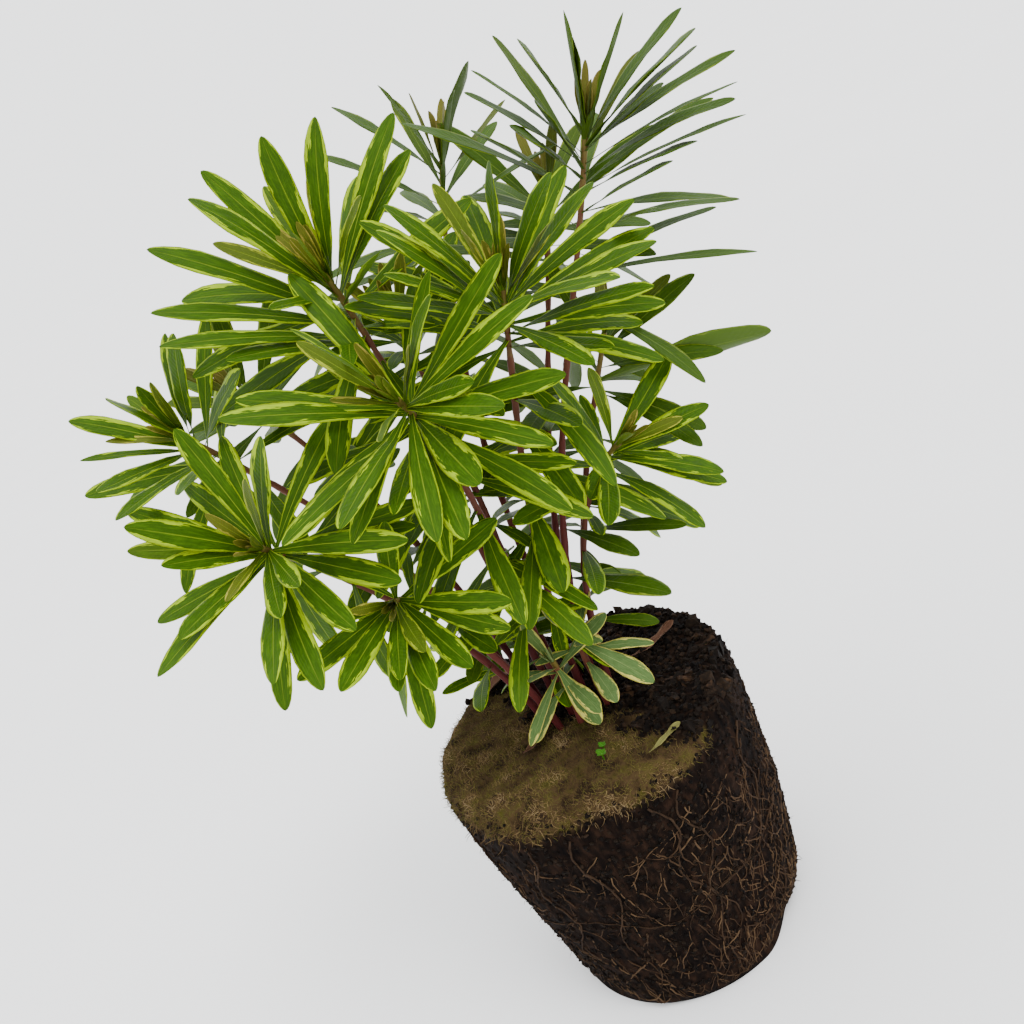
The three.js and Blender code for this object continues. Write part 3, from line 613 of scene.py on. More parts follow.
class BladeGrower(Grower):
    """Grows closed leaf blades along ribs that carry their half width, fold and facing.

    Thickness, keel and wave are shares of the half width.
    """

    NAME = "leaf_blades"
    FLOATS = ("Thickness", "Keel", "Wave", "Wave turns")
    TIP_WELD = 0.01

    def build(self) -> bpy.types.Node:
        """Sweeps a thin lens along each rib, then folds and waves it."""
        add, given = self.add, self.given
        ribs = add("GeometryNodeMeshToCurve", {"Mesh": given["Geometry"]})
        upper, half, fold, along, seed = (
            add("GeometryNodeInputNamedAttribute", {"Name": label}, data_type=kind)
            for label, kind in (("upper", "FLOAT_VECTOR"), ("half_width", "FLOAT"), ("fold", "FLOAT"),
                                ("along", "FLOAT"), ("leaf_seed", "FLOAT"))
        )
        facing = add("GeometryNodeSetCurveNormal", {"Curve": ribs, "Normal": upper}, mode="FREE")
        blade = add(
            "GeometryNodeCurveToMesh",
            {"Curve": facing, "Profile Curve": self.lens(), "Scale": half, "Fill Caps": True},
        )
        # The rings shrink to a point at a leaf's tip.
        closed = add("GeometryNodeMergeByDistance", {"Geometry": blade, "Distance": self.TIP_WELD * MM})
        across = add("GeometryNodeInputNamedAttribute", {"Name": "across"}, data_type="FLOAT")
        from_rib = add("ShaderNodeMath", {0: across}, operation="ABSOLUTE")
        rise = add("ShaderNodeMath", {0: from_rib, 1: fold}, operation="MULTIPLY")
        waves = add("ShaderNodeMath", {0: along, 1: given["Wave turns"]}, operation="MULTIPLY")
        start = add("ShaderNodeMath", {0: seed, 1: 40.0, 2: waves}, operation="MULTIPLY_ADD")
        sided = add("ShaderNodeMath", {0: across, 1: 1.3, 2: start}, operation="MULTIPLY_ADD")
        swing = add("ShaderNodeMath", {0: sided}, operation="SINE")
        outer = add("ShaderNodeMath", {0: from_rib, 1: from_rib}, operation="MULTIPLY")
        edge_swing = add("ShaderNodeMath", {0: swing, 1: outer}, operation="MULTIPLY")
        share = add("ShaderNodeMath", {0: edge_swing, 1: given["Wave"], 2: rise}, operation="MULTIPLY_ADD")
        lift = add("ShaderNodeMath", {0: share, 1: half}, operation="MULTIPLY")
        offset = add("ShaderNodeVectorMath", {0: upper, "Scale": lift}, operation="SCALE")
        folded = add("GeometryNodeSetPosition", {"Geometry": closed, "Offset": offset})
        return self.marked(folded, upper, across, along)

    def lens(self) -> bpy.types.Node:
        """Adds the blade's cross-section, one half width each way, with a rib standing out below."""
        add, given = self.add, self.given
        circle = add("GeometryNodeCurvePrimitiveCircle", {"Resolution": 8, "Radius": 1.0})
        place = add("ShaderNodeSeparateXYZ", {0: add("GeometryNodeInputPosition")})
        below = add("ShaderNodeMath", {0: place.outputs["Y"], 1: 0.0}, operation="MINIMUM")
        rib = add("ShaderNodeMath", {0: below, 1: 9.0}, operation="POWER")
        keel = add("ShaderNodeMath", {0: rib, 1: given["Keel"]}, operation="MULTIPLY")
        height = add(
            "ShaderNodeMath", {0: place.outputs["Y"], 1: given["Thickness"], 2: keel},
            operation="MULTIPLY_ADD",
        )
        # A curve's profile has its X along the curve's normal, which is the way the blade faces.
        aside = add("ShaderNodeMath", {0: place.outputs["X"], 1: -1.0}, operation="MULTIPLY")
        point = add("ShaderNodeCombineXYZ", {"X": height, "Y": aside})
        marked = add(
            "GeometryNodeStoreNamedAttribute",
            {"Geometry": circle, "Name": "across", "Value": place.outputs["X"]},
            data_type="FLOAT",
            domain="POINT",
        )
        return add("GeometryNodeSetPosition", {"Geometry": marked, "Position": point})

    def marked(
        self, blade: bpy.types.Node, upper: bpy.types.Node, across: bpy.types.Node, along: bpy.types.Node
    ) -> bpy.types.Node:
        """Adds the underside mark and a UV map, and shades the blade smooth.

        Args:
            blade: the finished geometry.
            upper: the direction that the blade faces.
            across: place across the blade, from -1 to 1.
            along: place along the blade, from 0 to 1.

        Returns:
            The last node.
        """
        add = self.add
        normal = add("GeometryNodeInputNormal")
        facing = add("ShaderNodeVectorMath", {0: normal, 1: upper}, operation="DOT_PRODUCT")
        under = add("ShaderNodeMath", {0: facing.outputs["Value"], 1: 0.0}, operation="LESS_THAN")
        sided = add(
            "GeometryNodeStoreNamedAttribute",
            {"Geometry": blade, "Name": "underside", "Value": under}, data_type="FLOAT", domain="FACE",
        )
        sideways = add("ShaderNodeMath", {0: across, 1: 0.5, 2: 0.5}, operation="MULTIPLY_ADD")
        place = add("ShaderNodeCombineXYZ", {"X": sideways, "Y": along})
        mapped = add(
            "GeometryNodeStoreNamedAttribute",
            {"Geometry": sided, "Name": "UVMap", "Value": place}, data_type="FLOAT2", domain="CORNER",
        )
        return add("GeometryNodeSetShadeSmooth", {"Geometry": mapped})


class TubeGrower(Grower):
    """Grows closed round stems and roots along lines that carry their radius."""

    NAME = "grown_tubes"
    FLOATS = ("Knobble", "Knobble scale")
    WHOLE = ("Sides",)

    def build(self) -> bpy.types.Node:
        """Sweeps a circle along each line and makes its surface uneven."""
        add, given = self.add, self.given
        lines = add("GeometryNodeMeshToCurve", {"Mesh": given["Geometry"]})
        ring = add("GeometryNodeCurvePrimitiveCircle", {"Resolution": given["Sides"], "Radius": 1.0})
        radius = add("GeometryNodeInputNamedAttribute", {"Name": "half_width"}, data_type="FLOAT")
        tube = add(
            "GeometryNodeCurveToMesh",
            {"Curve": lines, "Profile Curve": ring, "Scale": radius, "Fill Caps": True},
        )
        texture = add(
            "ShaderNodeTexNoise",
            {"Vector": add("GeometryNodeInputPosition"), "Scale": given["Knobble scale"], "Detail": 2.0},
        )
        centred = add("ShaderNodeMath", {0: texture, 1: 0.5}, operation="SUBTRACT")
        height = add("ShaderNodeMath", {0: centred, 1: given["Knobble"]}, operation="MULTIPLY")
        normal = add("GeometryNodeInputNormal")
        offset = add("ShaderNodeVectorMath", {0: normal, "Scale": height}, operation="SCALE")
        uneven = add("GeometryNodeSetPosition", {"Geometry": tube, "Offset": offset})
        return add("GeometryNodeSetShadeSmooth", {"Geometry": uneven})


class ScatterGrower(Grower):
    """Scatters small shapes over a surface, as thickly as its density attribute says."""

    FLOATS = ("Density", "Size", "Smallest", "Lean")
    WHOLE = ("Seed",)
    STRETCH_SEED = 7
    SHADE_SEED = 3

    def shape(self) -> bpy.types.Node:
        """Adds one small shape, about one unit across."""
        raise NotImplementedError

    def build(self) -> bpy.types.Node:
        """Places the shapes at random with their own turn, size and shade."""
        add, given = self.add, self.given
        wanted = add("GeometryNodeInputNamedAttribute", {"Name": "density"}, data_type="FLOAT")
        density = add("ShaderNodeMath", {0: wanted, 1: given["Density"]}, operation="MULTIPLY")
        spots = add(
            "GeometryNodeDistributePointsOnFaces",
            {"Mesh": given["Geometry"], "Density": density, "Seed": given["Seed"]},
        )
        least = add("ShaderNodeMath", {0: given["Lean"], 1: -1.0}, operation="MULTIPLY")
        low = add("ShaderNodeCombineXYZ", {"X": least, "Y": least, "Z": -math.pi})
        high = add("ShaderNodeCombineXYZ", {"X": given["Lean"], "Y": given["Lean"], "Z": math.pi})
        turn = add(
            "FunctionNodeRandomValue", {0: low, 1: high, "Seed": given["Seed"]}, data_type="FLOAT_VECTOR"
        )
        euler = add("FunctionNodeEulerToRotation", {"Euler": turn})
        rotation = add(
            "FunctionNodeRotateRotation", {"Rotation": spots.outputs["Rotation"], "Rotate By": euler},
            rotation_space="LOCAL",
        )
        smallest = add(
            "ShaderNodeVectorMath", {0: (1.0, 1.0, 1.0), "Scale": given["Smallest"]}, operation="SCALE"
        )
        stretch = add(
            "FunctionNodeRandomValue", {0: smallest, 1: (1.0, 1.0, 1.0), "Seed": self.STRETCH_SEED},
            data_type="FLOAT_VECTOR",
        )
        scale = add("ShaderNodeVectorMath", {0: stretch, "Scale": given["Size"]}, operation="SCALE")
        placed = add(
            "GeometryNodeInstanceOnPoints",
            {"Points": spots, "Instance": self.shape(), "Rotation": rotation, "Scale": scale},
        )
        shade = add("FunctionNodeRandomValue", {2: 0.0, 3: 1.0, "Seed": self.SHADE_SEED}, data_type="FLOAT")
        return add(
            "GeometryNodeStoreNamedAttribute",
            {"Geometry": placed, "Name": "shade", "Value": shade.outputs[1]},
            data_type="FLOAT",
            domain="INSTANCE",
        )

    def ragged(self, grown: bpy.types.Node, feature: float, share: float) -> bpy.types.Node:
        """Adds a shift of every corner, so that no two shapes are alike.

        Args:
            grown: the realised shapes.
            feature: how wide the shifts are, in millimetres.
            share: how far a corner shifts, as a share of the tree's Size.

        Returns:
            The last node.
        """
        add = self.add
        texture = add(
            "ShaderNodeTexNoise", {"Vector": add("GeometryNodeInputPosition"), "Scale": per_metre(feature)}
        )
        centred = add(
            "ShaderNodeVectorMath", {0: texture.outputs["Color"], 1: (0.5, 0.5, 0.5)}, operation="SUBTRACT"
        )
        reach = add("ShaderNodeMath", {0: self.given["Size"], 1: share}, operation="MULTIPLY")
        offset = add("ShaderNodeVectorMath", {0: centred, "Scale": reach}, operation="SCALE")
        return add("GeometryNodeSetPosition", {"Geometry": grown, "Offset": offset})


class CrumbGrower(ScatterGrower):
    """Lumps of soil."""

    NAME = "soil_crumbs"

    def shape(self) -> bpy.types.Node:
        """Adds a ball of twenty faces."""
        return self.add("GeometryNodeMeshIcoSphere", {"Radius": 0.6, "Subdivisions": 1})

    def shape_realised(self, grown: bpy.types.Node) -> bpy.types.Node:
        """Makes each lump uneven."""
        return self.ragged(grown, feature=1.6, share=1.1)


class ChipGrower(ScatterGrower):
    """Splinters of bark and woody litter."""

    NAME = "bark_chips"

    def shape(self) -> bpy.types.Node:
        """Adds a flat splinter, cut twice along its length."""
        return self.add(
            "GeometryNodeMeshCube",
            {"Size": (1.0, 0.3, 0.16), "Vertices X": 4, "Vertices Y": 2, "Vertices Z": 2},
        )

    def shape_realised(self, grown: bpy.types.Node) -> bpy.types.Node:
        """Bends and frays each splinter."""
        return self.ragged(grown, feature=2.2, share=0.45)


class StrandGrower(ScatterGrower):
    """Short curved strands: moss, or fine root hairs."""

    NAME = "curved_strands"

    def shape(self) -> bpy.types.Node:
        """Adds a bent strand, thick at its foot."""
        add = self.add
        arc = add(
            "GeometryNodeCurveQuadraticBezier",
            {"Resolution": 4, "Start": (0.0, 0.0, -0.1), "Middle": (0.1, 0.0, 0.6), "End": (0.75, 0.1, 0.8)},
        )
        place = add("GeometryNodeSplineParameter").outputs["Factor"]
        taper = add("ShaderNodeMapRange", {"Value": place, 3: 1.0, 4: 0.2})
        ring = add("GeometryNodeCurvePrimitiveCircle", {"Resolution": 3, "Radius": 0.06})
        return add(
            "GeometryNodeCurveToMesh",
            {"Curve": arc, "Profile Curve": ring, "Scale": taper, "Fill Caps": True},
        )


# ---- Shoots ----


@dataclass(frozen=True)
class Shoot:
    """One leafy stem: where it stands, where its tip is, and how its leaves are set.

    Attributes:
        name: the CAD node that it replaces.
        base: where it leaves the soil.
        tip: its growing tip.
        heading: the direction that the tip points in.
        leaves: how many leaves the rule gives it.
        leaf_length: length of a full-grown leaf.
        whorl: length of the crowded head of leaves.
        leafy: length of stem that bears leaves.
        turn: where the first leaf points, in degrees.
        opening: angle of the outer whorl leaves to the stem.
        seed: picks its draws.
        habit: how its leaves are coloured.
        reaching: (distance from the tip, leaf tip x, y, z, half width, roll) of single leaves.
        whorl_share: the share of the rule's leaves that stand in the crowded head.
        broad: how broad the leaves are beside those of the other shoots.
        lightward: how far its blades twist to face the light, from 0 to 1.
        fuller: how much broader its fine blades are than the CAD node's.
        side_leaves: how many small leaves stand on its stem below the others.
    """

    name: str
    base: tuple[float, float]
    tip: tuple[float, float, float]
    heading: tuple[float, float, float]
    leaves: int
    leaf_length: float
    whorl: float
    leafy: float
    turn: float
    opening: float
    seed: int
    habit: Habit
    reaching: tuple[tuple[float, ...], ...] = ()
    whorl_share: float = 0.7
    broad: float = 1.0
    lightward: float = 0.0
    fuller: float = 1.0
    side_leaves: int = 0


# Each shoot's numbers stand in the order of its fields: foot, tip and heading; then leaves, leaf
# length, whorl, leafy, turn, opening and seed. The order of the shoots is the order of making.
SHOOTS = (
    Shoot("leafy_stem_front", (-5, -10), (-4, -50, 314), (-0.22, -0.66, 0.72),
          34, 64, 16, 165, 22, 98, 1, Habit.VARIEGATED, whorl_share=0.6, broad=0.92,
          reaching=((12, -62, -60, 341, 5.6), (16, 53, -74, 298, 5.6), (18, -6, -102, 272, 6),
                    (8, -22, -90, 360, 5.2), (8, 55, -72, 328, 5.2), (6, 22, -92, 348, 5.2),
                    (12, -42, -92, 294, 5.6), (48, 44, -56, 260, 4.8), (50, -28, -57, 264, 5),
                    (58, -41, -52, 244, 5.8), (74, -39, -31, 224, 5.6), (102, 26, -37, 191, 4.4),
                    (15, 7, -93, 284, 6.4), (18, -64, -76, 294, 5.4), (22, -24, -82, 286, 4.6),
                    (6, 22, -83, 314, 4.6), (24, -60, -20, 298, 4.6))),
    Shoot("leafy_stem_low_left", (-15, -7), (-77, -45, 288), (-0.12, -0.8, 0.52),
          21, 62, 14, 105, 63, 92, 2, Habit.VARIEGATED, broad=0.92, side_leaves=4,
          reaching=((9, -107, -73, 326, 5), (14, -90, -92, 256, 5.2), (17, -35, -75, 260, 5.2),
                    (7, -51, -75, 331, 5), (11, -57, -85, 256, 5.2), (12.5, -113, -75, 282, 5.2),
                    (12, -105, -69, 307, 4.6), (16, -133, -20, 275, 4.4),
                    (15, -78, -16, 220, 5.2), (5, -78, -79, 272, 4.8), (10, -98, 1, 316, 4.2),
                    (8, -84, 3, 323, 4.6), (14, -13, -72, 281, 4.2))),
    Shoot("leafy_stem_centre", (4, -5), (53, -25, 327), (0.25, -0.4, 0.88),
          31, 68, 24, 195, 10, 98, 3, Habit.VARIEGATED, whorl_share=0.63, broad=0.85, lightward=0.6,
          fuller=1.05,
          reaching=((16, 110, -22, 290, 5.4), (20, -4, -42, 352, 5.2), (6, 66, -52, 374, 5),
                    (6, 84, -50, 360, 5), (8, 110, -42, 336, 5), (8, 26, -45, 377, 5),
                    (62, 40, -39, 235, 5.8), (97, 17, -37, 206, 6.2), (112, -20, -18, 204, 5.6),
                    (148, 3, -14, 167, 3.3), (8, 94, -61, 351, 5), (14, 103, -72, 324, 5.2),
                    (20, 95, -75, 311, 4.8), (26, 74, -69, 297, 4.2), (14, 19, -52, 371, 5),
                    (12, 14, -55, 357, 3.4), (50, 52, -57, 273, 5.4))),
    Shoot("leafy_stem_upper_left", (-8, 4), (-5, -15, 363), (-0.1, -0.35, 0.93),
          31, 68, 32, 140, 80, 104, 4, Habit.VARIEGATED, broad=0.95, lightward=0.75, side_leaves=5,
          reaching=((22, -57, -20, 402, 5.2), (10, 47, -12, 403, 5.2), (6, 19, -35, 414, 5),
                    (8, -1, -28, 417, 5), (12, -26, -12, 417, 4.8), (12, -33, -40, 410, 5.4),
                    (26, -67, -28, 382, 4.6), (32, -69, -40, 371, 4.2), (34, -52, -34, 355, 4.4))),
    Shoot("leafy_stem_far_left", (-17, 7), (-89, 5, 332), (-0.45, -0.25, 0.85),
          16, 56, 26, 85, 140, 104, 5, Habit.VARIEGATED, broad=0.75, lightward=0.75, fuller=1.15,
          side_leaves=9,
          reaching=((14, -122, 0, 360, 4), (24, -134, -10, 327, 4.8), (8, -98, -32, 363, 4.4),
                    (6, -66, -20, 371, 4.4), (10, -51, -25, 348, 4.4), (182, -52, 3, 172, 2.4),
                    (16, -117, -42, 324, 3.4), (12, -121, -22, 347, 2), (4, -70, -12, 372, 3.4),
                    (4, -90, -12, 360, 3))),
    Shoot("leafy_stem_tall_right", (11, -4), (119, 15, 362), (0.45, -0.05, 0.88),
          16, 70, 55, 150, 200, 96, 6, Habit.SHADED, broad=0.6, lightward=0.5, fuller=1.35,
          reaching=((60, 168, 18, 280, 2.4), (22, 176, 20, 348, 3.2), (4, 168, -5, 387, 3.6),
                    (8, 182, -5, 363, 3.2), (3, 103, -10, 405, 4), (172, 57, -18, 195, 4),
                    (195, 62, -28, 177, 4.6), (3, 123, -9, 396, 5), (4, 130, -22, 401, 5.2),
                    (5, 136, -25, 398, 3.4), (7, 159, -34, 379, 4.4), (9, 159, -29, 373, 4),
                    (9, 144, -11, 368, 4.2), (14, 162, -45, 356, 2.2), (24, 161, -44, 344, 2.2),
                    (26, 145, -30, 342, 3), (34, 135, -24, 339, 3), (40, 147, -43, 317, 2.8),
                    (56, 138, -31, 319, 3), (20, 87, -6, 378, 4.8), (16, 100, -6, 382, 4.4),
                    (10, 83, -4, 403, 2.2), (14, 77, -3, 397, 3.4), (26, 49, -9, 398, 3.6))),
    Shoot("leafy_stem_tall_back", (7, 14), (65, 60, 376), (0.45, 0.05, 0.88),
          22, 64, 45, 95, 30, 96, 7, Habit.SHADED, broad=0.62, lightward=0.5, fuller=1.35, side_leaves=6,
          reaching=((2, 86, 14, 407, 4), (6, 32, 50, 417, 3.6), (4, 51, 22, 415, 3.8))),
    Shoot("leafy_stem_under_front", (-11, -15), (-44, -50, 244), (-0.1, -0.9, 0.25),
          13, 52, 12, 40, 100, 85, 8, Habit.VARIEGATED, broad=1.1,
          reaching=((6, -72, -90, 240, 5), (8, -43, -92, 223, 5), (8, -28, -82, 219, 5),
                    (50, -19, -46, 202, 4.2), (7, -60, -88, 234, 4.2), (9, -55, -88, 228, 4.4))),
    Shoot("leafy_stem_low_right", (16, -8), (70, -12, 243), (0.55, -0.6, 0.4),
          19, 50, 18, 80, 160, 90, 9, Habit.VARIEGATED, broad=1.15, lightward=0.4,
          reaching=((30, 88, 0, 184, 5.6), (10, 103, -22, 207, 5), (8, 111, -16, 240, 4.6),
                    (8, 46, -30, 234, 5), (40, 44, -23, 214, 3.4))),
    Shoot("leafy_stem_middle", (-2, 7), (11, 0, 333), (0, -0.3, 1),
          33, 58, 26, 160, 0, 98, 10, Habit.VARIEGATED, lightward=0.9, side_leaves=2,
          reaching=((138, -15, -5, 168, 4.6), (120, 8, -31, 232, 6))),
    Shoot("leafy_stem_back_right", (12, 9), (99, 45, 345), (0.4, 0, 0.95),
          15, 60, 26, 100, 90, 95, 11, Habit.SHADED, broad=0.8, lightward=0.85, fuller=1.15, side_leaves=6,
          reaching=((172, 59, 0, 169, 5.4),)),
    Shoot("leafy_stem_back_left", (-15, 16), (-65, 40, 331), (-0.4, 0.1, 0.9),
          21, 58, 20, 75, 70, 92, 12, Habit.SHADED, broad=0.85, lightward=0.95, fuller=1.1, side_leaves=10,
          reaching=((165, -30, 5, 154, 4.6),)),
    Shoot("leafy_stem_right", (17, 4), (91, 22, 280), (0.5, -0.1, 0.8),
          19, 58, 26, 115, 50, 92, 13, Habit.SHADED, broad=0.9, lightward=0.85, fuller=1.1, side_leaves=2,
          reaching=((22, 158, 12, 246, 7.6, -50), (48, 106, 2, 196, 5), (26, 110, 2, 224, 5),
                    (92, 87, -12, 192, 3.4), (135, 51, -2, 152, 3))),
    Shoot("leafy_stem_young_front", (-4, -20), (-1, -22, 172), (-0.1, -0.4, 0.9),
          8, 34, 12, 20, 50, 100, 14, Habit.BASAL, broad=1.4, lightward=0.2,
          reaching=((6, 4, -42, 145, 5), (8, -27, -32, 146, 3))),
    Shoot("leafy_stem_young_right", (12, -18), (14, -19, 177), (0.1, -0.3, 0.9),
          8, 34, 12, 20, 90, 100, 15, Habit.BASAL, broad=1.4, lightward=0.2,
          reaching=((6, 33, -39, 148, 5.2), (3, 22, -28, 172, 2.8))),
)


@dataclass(frozen=True, kw_only=True)
class LeafPlan:
    """Where a leaf sits on its stem and how it stands; angles in degrees, the twist in radians.

    Attributes:
        length: its length along the rib.
        half_width: half of its greatest width.
        fold: how steeply its halves rise from the rib, as a slope.
        seed: picks its pattern, from 0 to 1.
        from_tip: its distance from the stem's tip.
        turn: where it points, round the stem.
        tilt: its angle to the stem at its foot.
        bend: how much further its tip leans out.
        roll: how far the whole blade is turned about its rib.
        twist: how far its tip is twisted about its rib.
        sweep: how far its tip is swept sideways, as a share of its length.
        age: 0 for the youngest leaf of the head, 1 for the oldest and all below it.
        low: 0 in the head, 1 for the lowest leaf on the stem.
    """

    length: float
    half_width: float
    fold: float
    seed: float
    from_tip: float = 0.0
    turn: float = 0.0
    tilt: float = 0.0
    bend: float = 0.0
    roll: float = 0.0
    twist: float = 0.0
    sweep: float = 0.0
    age: float = 0.0
    low: float = 0.0

    def moved(self, turn_aside: float, tilt_aside: float) -> "LeafPlan":
        """Returns the same leaf turned aside round its stem and away from it."""
        return replace(self, turn=self.turn + turn_aside, tilt=self.tilt + tilt_aside)

    def shrunk(self, share: float) -> "LeafPlan":
        """Returns the same leaf at a share of its size."""
        return replace(self, length=share * self.length, half_width=share * self.half_width)


@dataclass(frozen=True)
class RibStation:
    """A place on a leaf's rib, the way that the blade faces there, and its half width."""

    share: float
    middle: np.ndarray
    upper: np.ndarray
    half: float


class StemLine:
    """The curve that a shoot's stem grows along, from its foot in the soil to its tip."""

    SOIL_LEVEL = 135.0
    DEPTH_IN_SOIL = 22.0
    BASE_RADIUS = 1.9
    NECK_RADIUS = 1.3
    # How far the stem rises straight out of the soil, and runs straight into its tip, as shares of
    # the distance between the two.
    RISING = 0.4
    ARRIVING = 0.35
    DIVISIONS = 200
    NUDGE = 0.0001

    def __init__(self, shoot: Shoot) -> None:
        """Lays the curve out and measures it.

        Args:
            shoot: the shoot that grows along it.
        """
        foot = np.array([*shoot.base, self.SOIL_LEVEL - self.DEPTH_IN_SOIL], float)
        tip = np.array(shoot.tip, float)
        reach = np.linalg.norm(tip - foot)
        rising = foot + np.array([0, 0, self.RISING * reach])
        arriving = tip - self.ARRIVING * reach * unit(np.array(shoot.heading, float))
        self.controls = (foot, rising, arriving, tip)
        places = np.array([self.at(i / self.DIVISIONS) for i in range(self.DIVISIONS + 1)])
        steps = np.linalg.norm(np.diff(places, axis=0), axis=1)
        self.travelled = np.concatenate([[0], np.cumsum(steps)])
        self.length = float(self.travelled[-1])

    def at(self, parameter: float) -> np.ndarray:
        """Returns the curve's point at its own parameter, from 0 to 1."""
        t, s = parameter, 1 - parameter
        weights = (s ** 3, 3 * s * s * t, 3 * s * t * t, t ** 3)
        return sum(weight * control for weight, control in zip(weights, self.controls))

    def frame(self, from_tip: float) -> tuple[np.ndarray, np.ndarray, np.ndarray, np.ndarray]:
        """Finds the place, direction and the two directions across, at a distance from the tip.

        Args:
            from_tip: the distance along the stem from its tip.

        Returns:
            Place, along, front and aside.
        """
        wanted = min(self.length, max(0.0, self.length - from_tip))
        parameter = float(np.interp(wanted, self.travelled, np.linspace(0, 1, self.DIVISIONS + 1)))
        before, after = max(0, parameter - self.NUDGE), min(1, parameter + self.NUDGE)
        along = unit(self.at(after) - self.at(before))
        front = unit(np.cross((1, 0, 0), along))
        return self.at(parameter), along, front, np.cross(along, front)

    def radius(self, from_tip: float) -> float:
        """Returns the stem's radius at a distance from its tip."""
        return mix(self.NECK_RADIUS, self.BASE_RADIUS, from_tip / self.length)


class LeafyShoot:
    """A shoot's fine leaves and stem, set by the same rule as its CAD node.

    The blades of an upright shoot also twist about their own ribs to face the light, which moves
    neither a rib nor a tip.
    """

    # The rule's first leaves are too small for the CAD node, and stand only here.
    YOUNGEST = 4
    DRAWS_PER_LEAF = 6
    # Where the CAD node's rule looks for room, in degrees round the stem and away from it.
    TURNS_ASIDE = (0, 9, -9, 18, -18, 27, -27)
    TILTS_ASIDE = (0, -7, 7, -14, 14)
    TIP_TOLERANCE = 0.06
    # A leaf starts inside the stem, at this share of the stem's radius.
    STALK_START = 0.5
    # A single leaf reaches its tip on an arc that bends by this many degrees.
    REACHING_BEND = 12
    HEART_LEAVES = 7
    # The first side leaf stands this far below the leafy part, and the next ones this far apart.
    FIRST_SIDE_LEAF = 9
    SIDE_LEAF_STEP = 11
    # A leaf that found no room in the CAD node stands here at this share of its size.
    SMALL_SHARE = 0.62
    # Most light reaches the plant from the front and above.
    LIGHT = unit(np.array([0.1, -0.8, 0.6]))
    # A blade has turned to the light by this share of its length.
    TURNED_BY = 0.35
    # Places on a rib, closer together where the outline curves most.
    SHARES = (0, 0.05, 0.12, 0.2, 0.3, 0.42, 0.54, 0.66, 0.77, 0.86, 0.93, 0.97, 0.99, 1)
    # Length of stem between the rings of its tube, and the fewest rings.
    RING_STEP = 4
    FEWEST_RINGS = 12

    def __init__(self, shoot: Shoot) -> None:
        """Reads the CAD node's corners, which say how each leaf was set.

        Args:
            shoot: the shoot to build.
        """
        self.shoot = shoot
        self.line = StemLine(shoot)
        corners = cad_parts[shoot.name].data.vertices
        self.corners = KDTree(len(corners))
        for index, corner in enumerate(corners):
            self.corners.insert(corner.co / MM, index)
        self.corners.balance()

    def plan(self, count: int, draws: Sequence[float]) -> LeafPlan:
        """Gives the leaf numbered count, the youngest being 0.

        Args:
            count: the leaf's number.
            draws: its six random draws.

        Returns:
            The leaf's plan.
        """
        shoot = self.shoot
        # Halves round up, as in the part's own rule.
        whorl_leaves = math.floor(shoot.whorl_share * shoot.leaves + 0.5)
        age = min(1, count / whorl_leaves)
        low = max(0, (count - whorl_leaves) / (shoot.leaves - whorl_leaves))
        grown = 0.4 + 0.6 * min(1, age / 0.38)
        length = shoot.leaf_length * grown * (1 + 0.07 * draws[2]) * (1 - 0.28 * low)
        slimness = 0.076 + 0.008 * min(1, age / 0.4) + 0.03 * low + 0.005 * draws[3]
        return LeafPlan(
            from_tip=1.5 + shoot.whorl * age ** 1.2 + (shoot.leafy - shoot.whorl) * low ** 1.1,
            turn=shoot.turn + count * GOLDEN_ANGLE + 9 * draws[0],
            tilt=8 + (shoot.opening - 8) * age ** 0.75 + 10 * low + 6 * draws[1],
            bend=4 + 16 * age + 14 * low + 10 * draws[4],
            length=length,
            half_width=length * shoot.broad * slimness,
            fold=0.2 - 0.1 * age,
            twist=0.35 * draws[5],
            sweep=0.05 * draws[3],
            age=age,
            low=low,
            seed=(shoot.seed * 0.137 + count * GOLDEN_SHARE) % 1,
        )

    def reaching_plan(self, leaf: Sequence[float], number: int) -> LeafPlan:
        """Gives a single leaf that reaches from the stem to a given tip.

        Args:
            leaf: distance from the tip, leaf tip x, y, z, half width, and roll where it has one.
            number: its place in the shoot's list.

        Returns:
            The leaf's plan.
        """
        from_tip, *target, half_width = leaf[:5]
        roll = leaf[5] if len(leaf) > 5 else 0
        place, along, front, aside = self.line.frame(from_tip)
        chord = np.array(target, float) - place
        # An arc's chord leans out half of its bend more than its foot does.
        half_bend = math.radians(self.REACHING_BEND / 2)
        from_stem = math.degrees(math.acos(float(unit(chord) @ along)))
        return LeafPlan(
            from_tip=from_tip,
            turn=math.degrees(math.atan2(chord @ aside, chord @ front)),
            tilt=from_stem - self.REACHING_BEND / 2,
            bend=self.REACHING_BEND,
            length=float(np.linalg.norm(chord)) * half_bend / math.sin(half_bend),
            half_width=half_width,
            fold=0.12,
            roll=roll,
            age=0.8,
            seed=(self.shoot.seed * 0.137 + 0.31 * number + 0.05) % 1,
        )

    def heart_plan(self, number: int) -> LeafPlan:
        """Gives one of the small leaves that stand folded together round the growing tip."""
        share = (number + 1) / self.HEART_LEAVES
        length = self.shoot.leaf_length * (0.14 + 0.22 * share)
        return LeafPlan(
            from_tip=0.4 + 0.8 * share,
            turn=self.shoot.turn - number * GOLDEN_ANGLE,
            tilt=4 + 12 * share,
            bend=-6,
            length=length,
            half_width=0.085 * length,
            fold=0.5,
            seed=(self.shoot.seed * 0.29 + number * GOLDEN_SHARE) % 1,
        )

